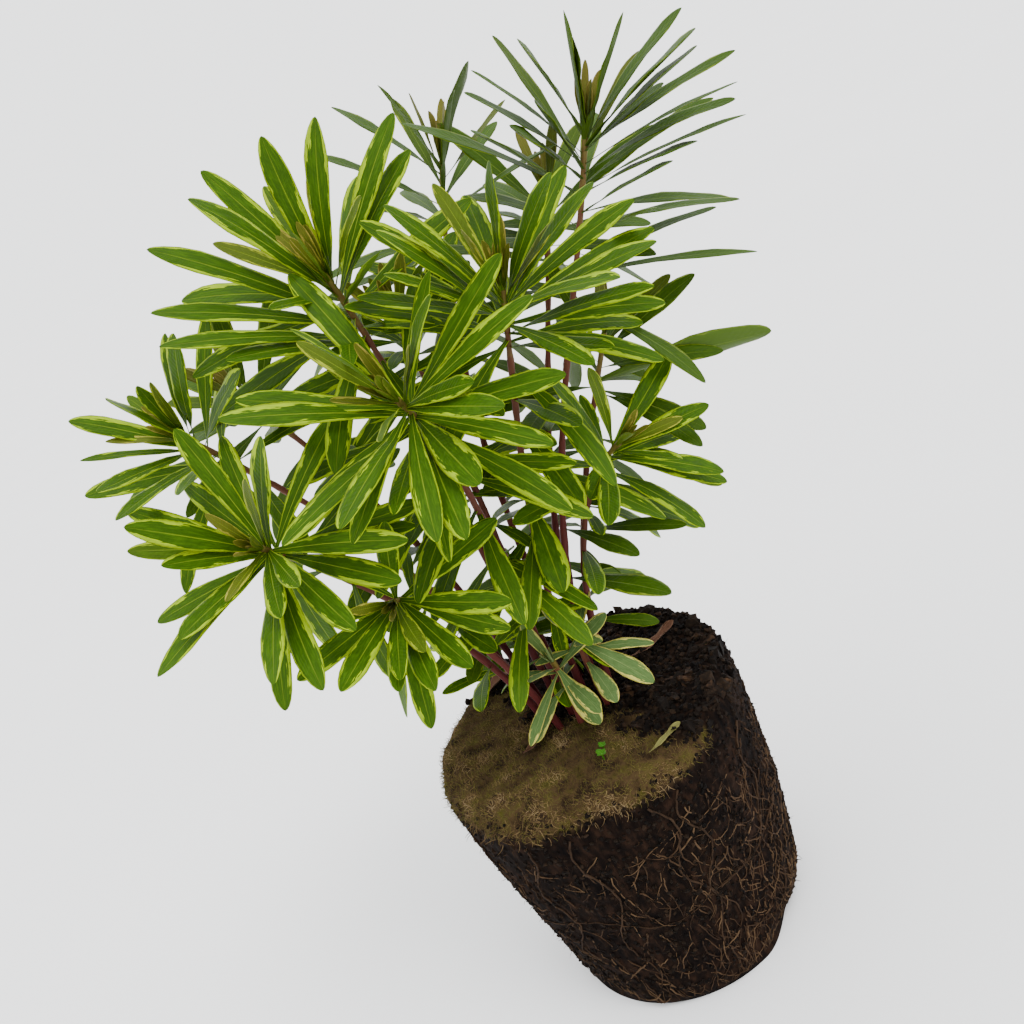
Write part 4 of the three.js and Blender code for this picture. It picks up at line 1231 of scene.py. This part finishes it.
    def side_plan(self, number: int) -> LeafPlan:
        """Gives one of the small leaves that stand on the stem below the leafy part."""
        turn = self.shoot.turn + (self.shoot.leaves + number) * GOLDEN_ANGLE
        length = self.shoot.leaf_length * (0.58 + 0.08 * math.sin(turn))
        return LeafPlan(
            from_tip=self.shoot.leafy + self.FIRST_SIDE_LEAF + self.SIDE_LEAF_STEP * number,
            turn=turn,
            tilt=78 + 10 * math.cos(turn),
            bend=24,
            length=length,
            half_width=0.115 * length,
            fold=0.12,
            twist=0.3 * math.sin(2 * turn),
            age=0.7,
            low=0.4,
            seed=(self.shoot.seed * 0.41 + number * GOLDEN_SHARE) % 1,
        )

    def stations(self, plan: LeafPlan, shares: Sequence[float]) -> list[RibStation]:
        """Lays a leaf's rib out as an arc.

        Args:
            plan: the leaf.
            shares: the places on its length that are wanted.

        Returns:
            One station for each share.
        """
        place, along, front, aside = self.line.frame(plan.from_tip)
        turn, tilt, bend = (math.radians(angle) for angle in (plan.turn, plan.tilt, plan.bend))
        outward = front * math.cos(turn) + aside * math.sin(turn)
        across = np.cross(along, outward)
        rooted = place + outward * self.STALK_START * self.line.radius(plan.from_tip)
        made = []
        for share in shares:
            angle = tilt + bend * share
            rise = (math.sin(angle) - math.sin(tilt)) / bend
            run = (math.cos(tilt) - math.cos(angle)) / bend
            sideways = plan.sweep * share ** 2
            middle = rooted + plan.length * (along * rise + outward * run + across * sideways)
            face = along * math.sin(angle) - outward * math.cos(angle)
            twist = math.radians(plan.roll) + plan.twist * share
            upper = face * math.cos(twist) - across * math.sin(twist)
            rib = along * math.cos(angle) + outward * math.sin(angle)
            # A leaf with a roll of its own already faces the way that it should.
            if not plan.roll:
                upper = self.turned_to_light(upper, rib, share)
            half = self.shoot.fuller * plan.half_width * leaf_width(share)
            made.append(RibStation(share, middle, upper, half))
        return made

    def turned_to_light(self, upper: np.ndarray, rib: np.ndarray, share: float) -> np.ndarray:
        """Twists a blade about its rib towards the light, most of it near its stalk.

        Args:
            upper: the way that the blade faces before it turns.
            rib: the direction of its rib there.
            share: the place on its length.

        Returns:
            The way that it faces.
        """
        brightest = unit(self.LIGHT - (self.LIGHT @ rib) * rib)
        angle = math.atan2(float(np.cross(upper, brightest) @ rib), float(upper @ brightest))
        turned = angle * self.shoot.lightward * smooth_step(0, self.TURNED_BY, share)
        return upper * math.cos(turned) + np.cross(rib, upper) * math.sin(turned)

    def fitted(self, plan: LeafPlan) -> LeafPlan | None:
        """Finds how the CAD node turned a leaf aside, from the corner at its tip.

        Args:
            plan: the leaf before it was turned.

        Returns:
            The leaf as the CAD node has it, or None where it was left out.
        """
        for tilt_aside in self.TILTS_ASIDE:
            for turn_aside in self.TURNS_ASIDE:
                moved = plan.moved(turn_aside, tilt_aside)
                tip = self.stations(moved, (1,))[0].middle
                if self.corners.find(Vector(tip))[2] < self.TIP_TOLERANCE:
                    return moved
        return None

    def plans(self) -> list[LeafPlan]:
        """Lists every leaf of the shoot: the CAD node's own, and small ones at the tip and between."""
        wanted = [self.reaching_plan(leaf, number) for number, leaf in enumerate(self.shoot.reaching)]
        draw = random_draws(self.shoot.seed)
        ruled = [
            self.plan(count, [next(draw) for _ in range(self.DRAWS_PER_LEAF)])
            for count in range(self.shoot.leaves)
        ]
        wanted += ruled[self.YOUNGEST:]
        found = list(map(self.fitted, wanted))
        fitted = [plan for plan in found if plan]
        LOG.info("%s: %d of %d leaves", self.shoot.name, len(fitted), len(wanted))
        small = [plan.shrunk(self.SMALL_SHARE) for plan, match in zip(wanted, found) if not match]
        young = ruled[:self.YOUNGEST]
        hearts = [self.heart_plan(number) for number in range(self.HEART_LEAVES)]
        side = [self.side_plan(number) for number in range(self.shoot.side_leaves)]
        return fitted + small + young + hearts + side

    def leaves(self, grower: BladeGrower, material: bpy.types.Material) -> bpy.types.Object:
        """Builds the shoot's leaves as one piece."""
        ribs = RibSet()
        for plan in self.plans():
            ribs.add(self.stations(plan, self.SHARES), plan)
        source = ribs.source(f"{self.shoot.name}_leaves")
        return grower.grow(source, material, thickness=0.06, keel=0.1, wave=0.1, wave_turns=13.0)

    def stalk(self, grower: TubeGrower, material: bpy.types.Material) -> bpy.types.Object:
        """Builds the shoot's stem as one piece."""
        steps = max(self.FEWEST_RINGS, round(self.line.length / self.RING_STEP))
        points, radii, places = [], [], []
        for step in range(steps + 1):
            from_tip = self.line.length * (1 - step / steps)
            points.append(self.line.frame(from_tip)[0])
            # A leaf scar every few millimetres leaves the stem a little knotty.
            knot = 0.12 * math.sin(from_tip * 1.9 + self.shoot.seed)
            radii.append((self.line.radius(from_tip) + knot) * MM)
            places.append(step / steps)
        edges = [(index, index + 1) for index in range(steps)]
        source = mesh_object(
            f"{self.shoot.name}_stalk", points, edges, values={"half_width": radii, "along": places}
        )
        return grower.grow(source, material, knobble=0.9 * MM, knobble_scale=per_metre(3), sides=10)


def leaf_width(share: float) -> float:
    """Returns a leaf's width at a share of its length, widest a third of the way from the tip."""
    widest = 0.7
    if share < widest:
        return 0.2 + 0.8 * math.sin(math.pi / 2 * share / widest) ** 1.5
    return max(0.0, 1 - ((share - widest) / (1 - widest)) ** 2.3) ** 0.62


class RibSet:
    """Gathers ribs of leaves as one mesh of lines that a BladeGrower reads."""

    def __init__(self) -> None:
        """Starts with no ribs."""
        self.points: list[Point] = []
        self.edges: list[tuple[int, int]] = []
        self.uppers: list[Point] = []
        self.values: dict[str, list[float]] = {
            label: [] for label in ("half_width", "fold", "along", "leaf_seed", "leaf_age", "leaf_low")
        }

    def add(self, stations: Sequence[RibStation], plan: LeafPlan) -> None:
        """Adds one leaf's rib.

        Args:
            stations: its places from stalk to tip.
            plan: what the whole leaf shares.
        """
        first = len(self.points)
        self.edges += [(first + i, first + i + 1) for i in range(len(stations) - 1)]
        for station in stations:
            self.points.append(station.middle)
            self.uppers.append(station.upper)
            row = (station.half * MM, plan.fold, station.share, plan.seed, plan.age, plan.low)
            for label, value in zip(self.values, row):
                self.values[label].append(value)

    def source(self, name: str) -> bpy.types.Object:
        """Returns the ribs as an object of lines."""
        return mesh_object(name, self.points, self.edges, values=self.values, vectors={"upper": self.uppers})


# ---- The root ball ----


@dataclass
class RootBall:
    """Soil that kept the shape of its tapered pot, with moss and litter on its top."""

    height: float = 135.0
    top_radius: float = 77.0
    base_radius: float = 61.5
    surface_wander: float = 1.3
    top_wander: float = 1.2
    columns: int = 300
    side_step: float = 1.6
    top_step: float = 0.02
    innermost: float = 0.01
    chip_depth: float = 7.0
    chip_height: float = 17.0
    side_levels: tuple[tuple[float, float], ...] = (
        (0, 0.985), (5, 1), (32, 1), (59, 1), (86, 1), (113, 1), (126, 0.985), (132.5, 0.94),
    )
    top_levels: tuple[tuple[float, float], ...] = ((135.5, 0.84), (135, 0.6), (136, 0.32), (136, 0))

    def tapered_radius(self, z: float) -> float:
        """Returns the radius of the plain taper at a height."""
        return mix(self.base_radius, self.top_radius, min(1, max(0, z / self.height)))

    def side_swell(self, angle: float, z: float) -> float:
        """Returns how far the side stands out at an angle round the ball and a height."""
        waves = (
            math.sin(3 * angle + 0.7 + z / 40)
            + 0.7 * math.sin(5 * angle - 1.1 - z / 26)
            + 0.5 * math.sin(8 * angle + z / 17)
        )
        return self.surface_wander * waves / 1.4

    def top_swell(self, x: float, y: float) -> float:
        """Returns how far the top stands above its own level at a place."""
        return self.top_wander * (math.sin(x / 15 + 0.4) * math.cos(y / 19) + 0.4 * math.sin(y / 9))

    def moss_at(self, x: float, y: float, z: float) -> float:
        """Returns how mossy a place is: the left of the top, and over the rim there."""
        edge = noise.noise(Vector((x, y, z)) / 12) * 18
        leftness = -0.835 * x - 0.55 * y + edge
        return smooth_step(4, 14, leftness) * smooth_step(121, 128, z + 0.3 * edge)

    def chip_at(self, angle: float, z: float) -> float:
        """Returns how much soil broke off the lower right edge."""
        facing = smooth_step(0.55, 0.95, math.cos(angle + 0.25))
        if z >= self.chip_height:
            return 0.0
        return self.chip_depth * facing * smooth_step(self.chip_height, 0, z)

    def roughness_at(self, place: Vector, moss: float, top: float) -> float:
        """Returns how far the surface stands out at a place through its lumps and crumbs."""
        lumps = noise.noise(place / 9)
        crumbs = noise.fractal(place / 3.2, 1.0, 2.0, 3)
        clods = max(0.0, noise.noise(place / 6 + Vector((31, 7, 3))) - 0.1)
        bare = 0.55 * lumps + 0.65 * crumbs + (1.9 * clods + 0.5 * crumbs) * top
        mossy = 0.9 * lumps + 0.5 * crumbs
        return mix(bare, mossy, moss)

    def side_point(self, angle: float, z: float, lift: float = 0.0) -> tuple[float, float, float]:
        """Finds a place on the finished side.

        Args:
            angle: the angle round the ball, in radians.
            z: the height.
            lift: how far outside the surface the place is.

        Returns:
            The place in millimetres.
        """
        levels, shares = zip(*self.side_levels)
        share = float(np.interp(z, levels, shares))
        swell = self.side_swell(angle, z) * smooth_step(0, 4, z)
        radius = share * (self.tapered_radius(z) + swell) - self.chip_at(angle, z)
        place = Vector((radius * math.cos(angle), radius * math.sin(angle), z))
        moss = self.moss_at(*place)
        radius += (self.roughness_at(place, moss, 0) - 0.2) * smooth_step(0, 3, z) + lift
        return radius * math.cos(angle), radius * math.sin(angle), z

    def top_level(self, x: float, y: float) -> float:
        """Returns the height of the finished top at a place on it."""
        share = math.hypot(x, y) / self.top_radius
        levels, shares = zip(*reversed(self.top_levels))
        level = float(np.interp(share, shares, levels)) + self.top_swell(x, y)
        place = Vector((x, y, level))
        return level + self.roughness_at(place, self.moss_at(x, y, level), 1)

    def profile(self) -> list[tuple[str, float, float]]:
        """Lists the rings from the base's edge over the rim to the crown: kind, height, share."""
        rim = self.side_levels[-1][0]
        sides = [("side", z, 0.0) for z in np.arange(0, rim, self.side_step)]
        first = self.side_levels[-1][1] - self.top_step / 2
        tops = [("top", 0.0, share) for share in np.arange(first, self.innermost, -self.top_step)]
        return sides + tops

    def ring_point(self, kind: str, z: float, share: float, angle: float) -> tuple[float, float, float]:
        """Finds one corner of the mesh.

        Args:
            kind: "side" or "top".
            z: the height of a side ring.
            share: the share of the top radius of a top ring.
            angle: the angle round the ball, in radians.

        Returns:
            The corner in millimetres.
        """
        if kind == "side":
            return self.side_point(angle, z)
        x, y = (share * self.top_radius * turn for turn in (math.cos(angle), math.sin(angle)))
        crumbling = smooth_step(0.8, 0.94, share) * (1 - self.moss_at(x, y, self.height))
        ragged = 1 + 0.02 * crumbling * noise.noise(Vector((x, y, 50)) / 5)
        drop = 1.4 * smooth_step(0.86, 0.94, share)
        return x * ragged, y * ragged, self.top_level(x, y) - drop

    def soil(self, material: bpy.types.Material) -> bpy.types.Object:
        """Builds the soil as one closed mesh that carries its moss and density attributes."""
        rings = self.profile()
        angles = [2 * math.pi * column / self.columns for column in range(self.columns)]
        points = [self.ring_point(kind, z, share, angle) for kind, z, share in rings for angle in angles]
        faces = []
        for ring in range(len(rings) - 1):
            for column in range(self.columns):
                after = (column + 1) % self.columns
                low, high = ring * self.columns, (ring + 1) * self.columns
                faces.append((low + column, low + after, high + after, high + column))
        base, crown = len(points), len(points) + 1
        points += [(0, 0, 0), (0, 0, self.top_level(0, 0))]
        last = (len(rings) - 1) * self.columns
        for column in range(self.columns):
            after = (column + 1) % self.columns
            faces.append((base, after, column))
            faces.append((crown, last + column, last + after))
        moss = [self.moss_at(*point) for point in points]
        soil = mesh_object("soil_body", points, faces=faces, values={"moss": moss})
        soil.data.shade_smooth()
        soil.data.materials.append(material)
        return soil

    def bed(self, name: str, soil: bpy.types.Object, density: Callable[[Vector], float]) -> bpy.types.Object:
        """Copies the soil's surface for scattering on.

        Args:
            name: the name of the piece that will grow there.
            soil: the soil piece.
            density: gives how thickly things lie at a place, from 0 to 1.

        Returns:
            An object with a density attribute.
        """
        mesh = soil.data.copy()
        store_values(mesh, "density", [density(corner.co / MM) for corner in mesh.vertices])
        return new_object(name, mesh)

    def mossy(self, place: Vector) -> float:
        """Returns how mossy a place is, from 0 to 1."""
        return self.moss_at(*place)

    def bare_top(self, place: Vector) -> float:
        """Returns how bare the top is at a place, from 0 to 1."""
        return smooth_step(126, 132, place.z) * (1 - self.moss_at(*place))

    def bare_rim(self, place: Vector) -> float:
        """Returns how bare and how near the rim the top is at a place, from 0 to 1."""
        share = math.hypot(place.x, place.y) / self.top_radius
        return self.bare_top(place) * smooth_step(0.84, 0.9, share)

    def fringe_at(self, place: Vector) -> float:
        """Returns how thick the dry fringe is that hangs over the rim at the front left."""
        facing = smooth_step(0.55, 0.9, math.cos(math.atan2(place.y, place.x) + 2.1))
        return facing * smooth_step(118, 123, place.z) * smooth_step(134, 130, place.z)

    def side_only(self, place: Vector) -> float:
        """Returns 1 on the side and 0 on the top, the base and the moss."""
        return smooth_step(5, 10, place.z) * smooth_step(131, 126, place.z) if 5 < place.z < 131 else 0.0


@dataclass
class RootNet:
    """Tan roots that run over the side of the ball: the CAD net's own, and many short ones.

    The CAD net has its own seed, levels, weave and half width, and they are the same here.
    """

    ball: RootBall
    highest: float = 118.0
    lowest: float = 7.0
    descending: int = 16
    weave: float = 4.5
    half_width: float = 1.1
    circling_level: float = 58.0
    seed: int = 404
    short_roots: int = 900
    matted_angle: float = -0.75
    descending_radius: float = 0.55
    circling_radius: float = 0.5
    descending_steps: int = 60
    circling_steps: int = 216
    overlap_steps: int = 5
    fewest_points: int = 4
    short_step: float = 1.4
    short_lengths: tuple[float, float] = (8, 30)
    short_radii: tuple[float, float] = (0.2, 0.44)
    long_root_shade: float = 0.15

    def lines(self) -> list[tuple[list[tuple[float, float, float]], float]]:
        """Lists every root as its points and its radius at the thick end."""
        draw = random_draws(self.seed)
        lines = [
            (self.descending_line(index, draw), self.descending_radius) for index in range(self.descending)
        ]
        lines.append((self.circling_line(draw), self.circling_radius))
        rng = np.random.default_rng(self.seed)
        lines += [self.short_line(rng) for _ in range(self.short_roots)]
        return lines

    def descending_line(self, index: int, draw: Iterator[float]) -> list[tuple[float, float, float]]:
        """Follows one of the CAD net's roots down the side."""
        start = (index + 0.35 * next(draw)) / self.descending * 2 * math.pi
        slant = 0.16 * next(draw)
        phase = math.pi * next(draw)
        wave_length = 48 + 12 * next(draw)
        end = self.lowest + 4 * (1 + next(draw))
        points = []
        for step in range(self.descending_steps + 1):
            down = step / self.descending_steps
            z = mix(self.highest, end, down)
            weave = self.weave * math.sin(2 * math.pi * z / wave_length + phase) / self.ball.tapered_radius(z)
            weave += 0.012 * noise.noise(Vector((index * 9, z / 5, 0)))
            points.append(self.ball.side_point(start + slant * down + weave, z, lift=0.35))
        return points

    def circling_line(self, draw: Iterator[float]) -> list[tuple[float, float, float]]:
        """Follows the CAD net's root that circles the ball once."""
        phase = math.pi * next(draw)
        points = []
        for step in range(self.circling_steps + self.overlap_steps):
            angle = step / self.circling_steps * 2 * math.pi
            wave = math.sin(3 * angle + phase) + 0.5 * math.sin(7 * angle - phase)
            z = self.circling_level + self.weave * wave + self.half_width * angle / (2 * math.pi)
            points.append(self.ball.side_point(angle + phase, z, lift=0.3))
        return points

    def short_line(self, rng: np.random.Generator) -> tuple[list[tuple[float, float, float]], float]:
        """Wanders a short root over the side, mostly downwards.

        Args:
            rng: the source of its chance.

        Returns:
            Its points and its radius.
        """
        angle = rng.uniform(0, 2 * math.pi) if rng.random() < 0.6 else rng.normal(self.matted_angle, 0.6)
        z = mix(self.lowest, self.highest - 8, rng.random() ** 1.5)
        heading = rng.normal(-math.pi / 2, 0.4)
        curl = rng.normal(0, 0.04)
        length = rng.uniform(*self.short_lengths)
        points = []
        for index in range(int(length / self.short_step)):
            if not 3 < z < 127:
                break
            lift = 0.1 + 0.3 * math.sin(index / 2.3 + angle * 9)
            points.append(self.ball.side_point(angle, z, lift))
            heading += curl + rng.normal(0, 0.2)
            angle += self.short_step * math.cos(heading) / self.ball.tapered_radius(z)
            z += self.short_step * math.sin(heading)
        return points, rng.uniform(*self.short_radii)

    def build(self, grower: TubeGrower, material: bpy.types.Material) -> bpy.types.Object:
        """Builds all roots as one piece."""
        points, edges, radii, places, shades = [], [], [], [], []
        for number, (line, radius) in enumerate(self.lines()):
            if len(line) < self.fewest_points:
                continue
            first = len(points)
            last = len(line) - 1
            points += line
            edges += [(first + i, first + i + 1) for i in range(last)]
            radii += [radius * MM * (1 - 0.6 * (i / last) ** 2) for i in range(last + 1)]
            places += [i / last for i in range(last + 1)]
            # The net's own long roots are darker than the fresh short ones.
            shade = self.long_root_shade if number <= self.descending else number * GOLDEN_SHARE % 1
            shades += [shade] * (last + 1)
        values = {"half_width": radii, "along": places, "shade": shades}
        source = mesh_object("side_roots", points, edges, values=values)
        return grower.grow(source, material, knobble=0.4 * MM, knobble_scale=per_metre(4), sides=5)


@dataclass(frozen=True)
class Scatter:
    """Small things that lie or grow thickly over the root ball.

    Attributes:
        name: the piece's name.
        slot: a slot name that is passed on but not used.
        grower: the kind of tree that makes them.
        finish: what they are made of.
        place: says how thickly they lie at a place on the ball.
        density: how many there are on a square metre, where they lie thickest.
        size: the size of the largest.
        smallest: the smallest one's share of that size.
        lean: how far they lean away from straight out of the surface, in radians.
        seed: picks their places.
    """

    name: str
    slot: str
    grower: type[ScatterGrower]
    finish: FibreFinish
    place: Callable[[RootBall, Vector], float]
    density: float
    size: float
    smallest: float
    lean: float
    seed: int

    def build(
        self, ball: RootBall, soil: bpy.types.Object, grower: ScatterGrower, material: bpy.types.Material
    ) -> bpy.types.Object:
        """Scatters them over the soil's surface, as one piece."""
        return grower.grow(
            ball.bed(self.name, soil, lambda spot: self.place(ball, spot)), material,
            density=self.density, size=self.size * MM, smallest=self.smallest, lean=self.lean, seed=self.seed,
        )


# The numbers are density, size, smallest, lean and seed.
SCATTERS = (
    Scatter("crumbs_on_top", "soil", CrumbGrower, CRUMB, RootBall.bare_top, 160000, 3.4, 0.35, 3.1, 11),
    Scatter("crumbs_on_side", "soil", CrumbGrower, CRUMB, RootBall.side_only, 70000, 2.4, 0.35, 3.1, 12),
    Scatter("moss_strands", "soil", StrandGrower, MOSS, RootBall.mossy, 800000, 3.2, 0.5, 1.1, 13),
    Scatter("clods_on_rim", "soil", CrumbGrower, CRUMB, RootBall.bare_rim, 14000, 7.5, 0.3, 3.1, 16),
    Scatter("dry_fringe", "soil", StrandGrower, FRINGE, RootBall.fringe_at, 160000, 5, 0.5, 1.3, 17),
    Scatter("bark_chips", "litter", ChipGrower, CHIP, RootBall.bare_top, 12000, 13, 0.3, 0.5, 14),
    Scatter("root_hairs", "root", StrandGrower, HAIR, RootBall.side_only, 22000, 4, 0.4, 1.2, 15),
)


@dataclass(frozen=True)
class LyingLeaf:
    """A dry fallen leaf that lies on the soil, away from the shoots.

    Attributes:
        name: the CAD node that it replaces.
        centre: where its middle lies.
        direction: the way that its tip points, in degrees.
        length: its length.
        half_width: half of its greatest width.
        curl: how far its ends rise.
        finish: how it is coloured.
        lift: how far its rib lies above the soil.
    """

    name: str
    centre: tuple[float, float]
    direction: float
    length: float
    half_width: float
    curl: float
    finish: LeafFinish
    lift: float = 0.9

    def stations(self, ball: RootBall) -> list[RibStation]:
        """Lays its rib out just over the soil, curled up at both ends."""
        angle = math.radians(self.direction)
        along = np.array([math.cos(angle), math.sin(angle), 0])
        shares = LeafyShoot.SHARES
        middles = []
        for share in shares:
            x, y = (np.array([*self.centre, 0]) + along * self.length * (share - 0.5))[:2]
            arch = self.curl * (2 * share - 1) ** 2
            middles.append(np.array([x, y, self.floor(ball) + self.lift + arch]))
        made = []
        for index, share in enumerate(shares):
            before, after = middles[max(0, index - 1)], middles[min(len(middles) - 1, index + 1)]
            side = np.cross((0, 0, 1), along)
            upper = unit(np.cross(after - before, side))
            made.append(RibStation(share, middles[index], upper, self.half_width * leaf_width(share)))
        return made

    def floor(self, ball: RootBall) -> float:
        """Returns the soil's highest level under the leaf's rib."""
        angle = math.radians(self.direction)
        spots = [self.length * (share - 0.5) for share in (0.1, 0.3, 0.5, 0.7, 0.9)]
        x, y = self.centre
        return max(ball.top_level(x + d * math.cos(angle), y + d * math.sin(angle)) for d in spots)

    def build(self, ball: RootBall, grower: BladeGrower) -> bpy.types.Object:
        """Builds the leaf as one piece."""
        seed = self.direction / 360
        plan = LeafPlan(length=self.length, half_width=self.half_width, fold=0.55, seed=seed, age=1)
        ribs = RibSet()
        ribs.add(self.stations(ball), plan)
        source = ribs.source(f"{self.name}_dry")
        material = self.finish.material()
        return grower.grow(source, material, thickness=0.07, keel=0.08, wave=0.3, wave_turns=11.0)


# The numbers are centre, direction, length, half width and curl.
FALLEN_LEAVES = (
    LyingLeaf("fallen_leaf_front", (-26, -16), 30, 16, 2.8, 1.5, DRY_LEAF),
    LyingLeaf("fallen_leaf_side", (25, -62), 25, 20, 2, 0.8, PALE_LEAF),
    LyingLeaf("fallen_leaf_right", (46, 9), 20, 30, 3.2, 3, DRY_LEAF),
    LyingLeaf("fallen_leaf_back", (-33, 49), 38, 30, 4.6, 3, DRY_LEAF),
)


@dataclass(frozen=True)
class Seedling:
    """A tiny weed seedling: a thread of a stem with four round leaves."""

    name: str
    foot: tuple[float, float]
    height: float
    spread: float
    leaves: int = 4

    def build(
        self, ball: RootBall, grower: BladeGrower, material: bpy.types.Material
    ) -> bpy.types.Object:
        """Builds the seedling's leaves and its stem, which is one more narrow blade."""
        x, y = self.foot
        foot = np.array([x, y, ball.top_level(x, y) - 0.5])
        head = foot + np.array([0.4, -0.3, self.height])
        ribs = RibSet()
        up = np.array([0.0, 0.0, 1.0])
        plan = LeafPlan(length=1, half_width=1, fold=0.1, seed=self.height % 1, age=1)
        front = np.array([0.0, -1.0, 0.0])
        ribs.add([RibStation(t, foot + (head - foot) * t, front, 0.35) for t in (0, 0.5, 1)], plan)
        for number in range(self.leaves):
            angle = math.radians(360 / self.leaves * number + 25)
            out = np.array([math.cos(angle), math.sin(angle), 0.35])
            reach = self.spread * (1 if number % 2 else 0.75)
            stations = [
                RibStation(t, head + out * reach * t, unit(up - out * 0.3), 0.42 * reach * round_width(t))
                for t in (0, 0.2, 0.4, 0.6, 0.8, 1)
            ]
            ribs.add(stations, plan)
        return grower.grow(
            ribs.source(self.name), material, thickness=0.1, keel=0.05, wave=0.0, wave_turns=0.0
        )


def round_width(share: float) -> float:
    """Returns the width of a round seed leaf at a share of its length."""
    return 0.15 + 0.85 * math.sin(math.pi * share ** 0.8) if share < 1 else 0.0


SEEDLINGS = (Seedling("seedling_front", (-2, -53), 4.0, 3.4), Seedling("seedling_left", (0, -46), 3.0, 2.6))


# ---- The studio ----


@dataclass(frozen=True)
class Studio:
    """Pale floor, soft light and the camera at the photograph's angle.

    The camera looks down on the plant and leans, as the plant leans in the photograph. Angles are
    in degrees, and focal_share is the lens's length beside the sensor's width.
    """

    camera_place: tuple[float, float, float] = (0.0, -445.4, 399.46)
    yaw: float = -2.0
    pitch: float = -20.3
    roll: float = -28.4
    focal_share: float = 1075 / 1024
    sensor: float = 36.0
    clip: tuple[float, float] = (10.0, 200000.0)
    floor_size: float = 60000.0
    sky_colour: str = "#f6f7f8"
    sky_strength: float = 2.7
    sun_place: tuple[float, float, float] = (0.5, -0.75, 1.4)
    sun_spread: float = 25.0
    sun_strength: float = 2.2

    def camera(self) -> None:
        """Sets the camera."""
        yaw, pitch, roll = (math.radians(angle) for angle in (self.yaw, self.pitch, self.roll))
        ahead = Vector((-math.sin(yaw) * math.cos(pitch), math.cos(yaw) * math.cos(pitch), math.sin(pitch)))
        level = Vector((math.cos(yaw), math.sin(yaw), 0))
        upright = level.cross(ahead)
        right = level * math.cos(roll) + upright * math.sin(roll)
        up = upright * math.cos(roll) - level * math.sin(roll)
        data = bpy.data.cameras.new("camera")
        data.sensor_fit = "HORIZONTAL"
        data.sensor_width = self.sensor
        data.lens = self.sensor * self.focal_share
        data.clip_start, data.clip_end = (distance * MM for distance in self.clip)
        camera = new_object("camera", data)
        columns = Matrix((right, up, -ahead)).transposed()
        camera.matrix_world = Matrix.Translation(Vector(self.camera_place) * MM) @ columns.to_4x4()
        bpy.context.scene.camera = camera

    def floor(self) -> None:
        """Lays the floor that the root ball stands on."""
        half = self.floor_size / 2
        corners = [(-half, -half, 0), (half, -half, 0), (half, half, 0), (-half, half, 0)]
        floor = mesh_object("floor", corners, faces=[(0, 1, 2, 3)])
        floor.data.materials.append(PAPER.material())
        floor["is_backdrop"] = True

    def sky(self) -> None:
        """Sets an even pale sky."""
        world = bpy.data.worlds.new("pale_sky")
        world.use_nodes = True
        sky = {"Color": linear(self.sky_colour), "Strength": self.sky_strength}
        set_inputs(world.node_tree.nodes["Background"], sky)
        bpy.context.scene.world = world

    def sun(self) -> None:
        """Hangs one sun that looks wide, so that its shadows are soft."""
        data = bpy.data.lights.new("key_light", "SUN")
        data.angle = math.radians(self.sun_spread)
        data.energy = self.sun_strength
        lamp = new_object("key_light", data)
        lamp.rotation_euler = (-Vector(self.sun_place)).to_track_quat("-Z", "Y").to_euler()

    def build(self) -> None:
        """Sets the camera, the floor and the lights."""
        self.camera()
        self.floor()
        self.sky()
        self.sun()


# ---- Everything together ----


def build_shoots(blades: BladeGrower, tubes: TubeGrower) -> None:
    """Builds the leaves and the stem of every shoot."""
    leaf_materials = {habit: habit.value.material() for habit in Habit}
    bark = STALK.material()
    for shoot in SHOOTS:
        leafy = LeafyShoot(shoot)
        finish_piece(leafy.leaves(blades, leaf_materials[shoot.habit]), "leaf", (shoot.name,))
        finish_piece(leafy.stalk(tubes, bark), "stem")


def build_root_ball(blades: BladeGrower, tubes: TubeGrower) -> None:
    """Builds the soil, its roots, and what grows and lies on it."""
    ball = RootBall()
    soil = ball.soil(EARTH.material())
    finish_piece(soil, "soil", ("rootball",))
    finish_piece(RootNet(ball).build(tubes, ROOT.material()), "root", ("root_net",))
    growers = {kind: kind() for kind in (CrumbGrower, ChipGrower, StrandGrower)}
    materials = {finish: finish.material() for finish in (CRUMB, MOSS, FRINGE, CHIP, HAIR)}
    for scatter in SCATTERS:
        grower, material = growers[scatter.grower], materials[scatter.finish]
        finish_piece(scatter.build(ball, soil, grower, material), scatter.slot)
    for leaf in FALLEN_LEAVES:
        finish_piece(leaf.build(ball, blades), "litter", (leaf.name,))
    fresh = SEEDLING.material()
    for seedling in SEEDLINGS:
        finish_piece(seedling.build(ball, blades, fresh), "leaf")


def write_sizes() -> None:
    """Puts the CAD box and the visual model's box into plain lists of numbers; nothing is written."""
    boxes = {"cad": CAD_BOX, "visual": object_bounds()}
    plain = {label: [list(corner) for corner in box] for label, box in boxes.items()}


def main() -> None:
    """Builds the plant and its studio."""
    logging.basicConfig(level=logging.INFO, format="%(name)s: %(message)s")
    Studio().build()
    blades, tubes = BladeGrower(), TubeGrower()
    build_shoots(blades, tubes)
    build_root_ball(blades, tubes)
    write_sizes()


if __name__ == "__main__":
    main()
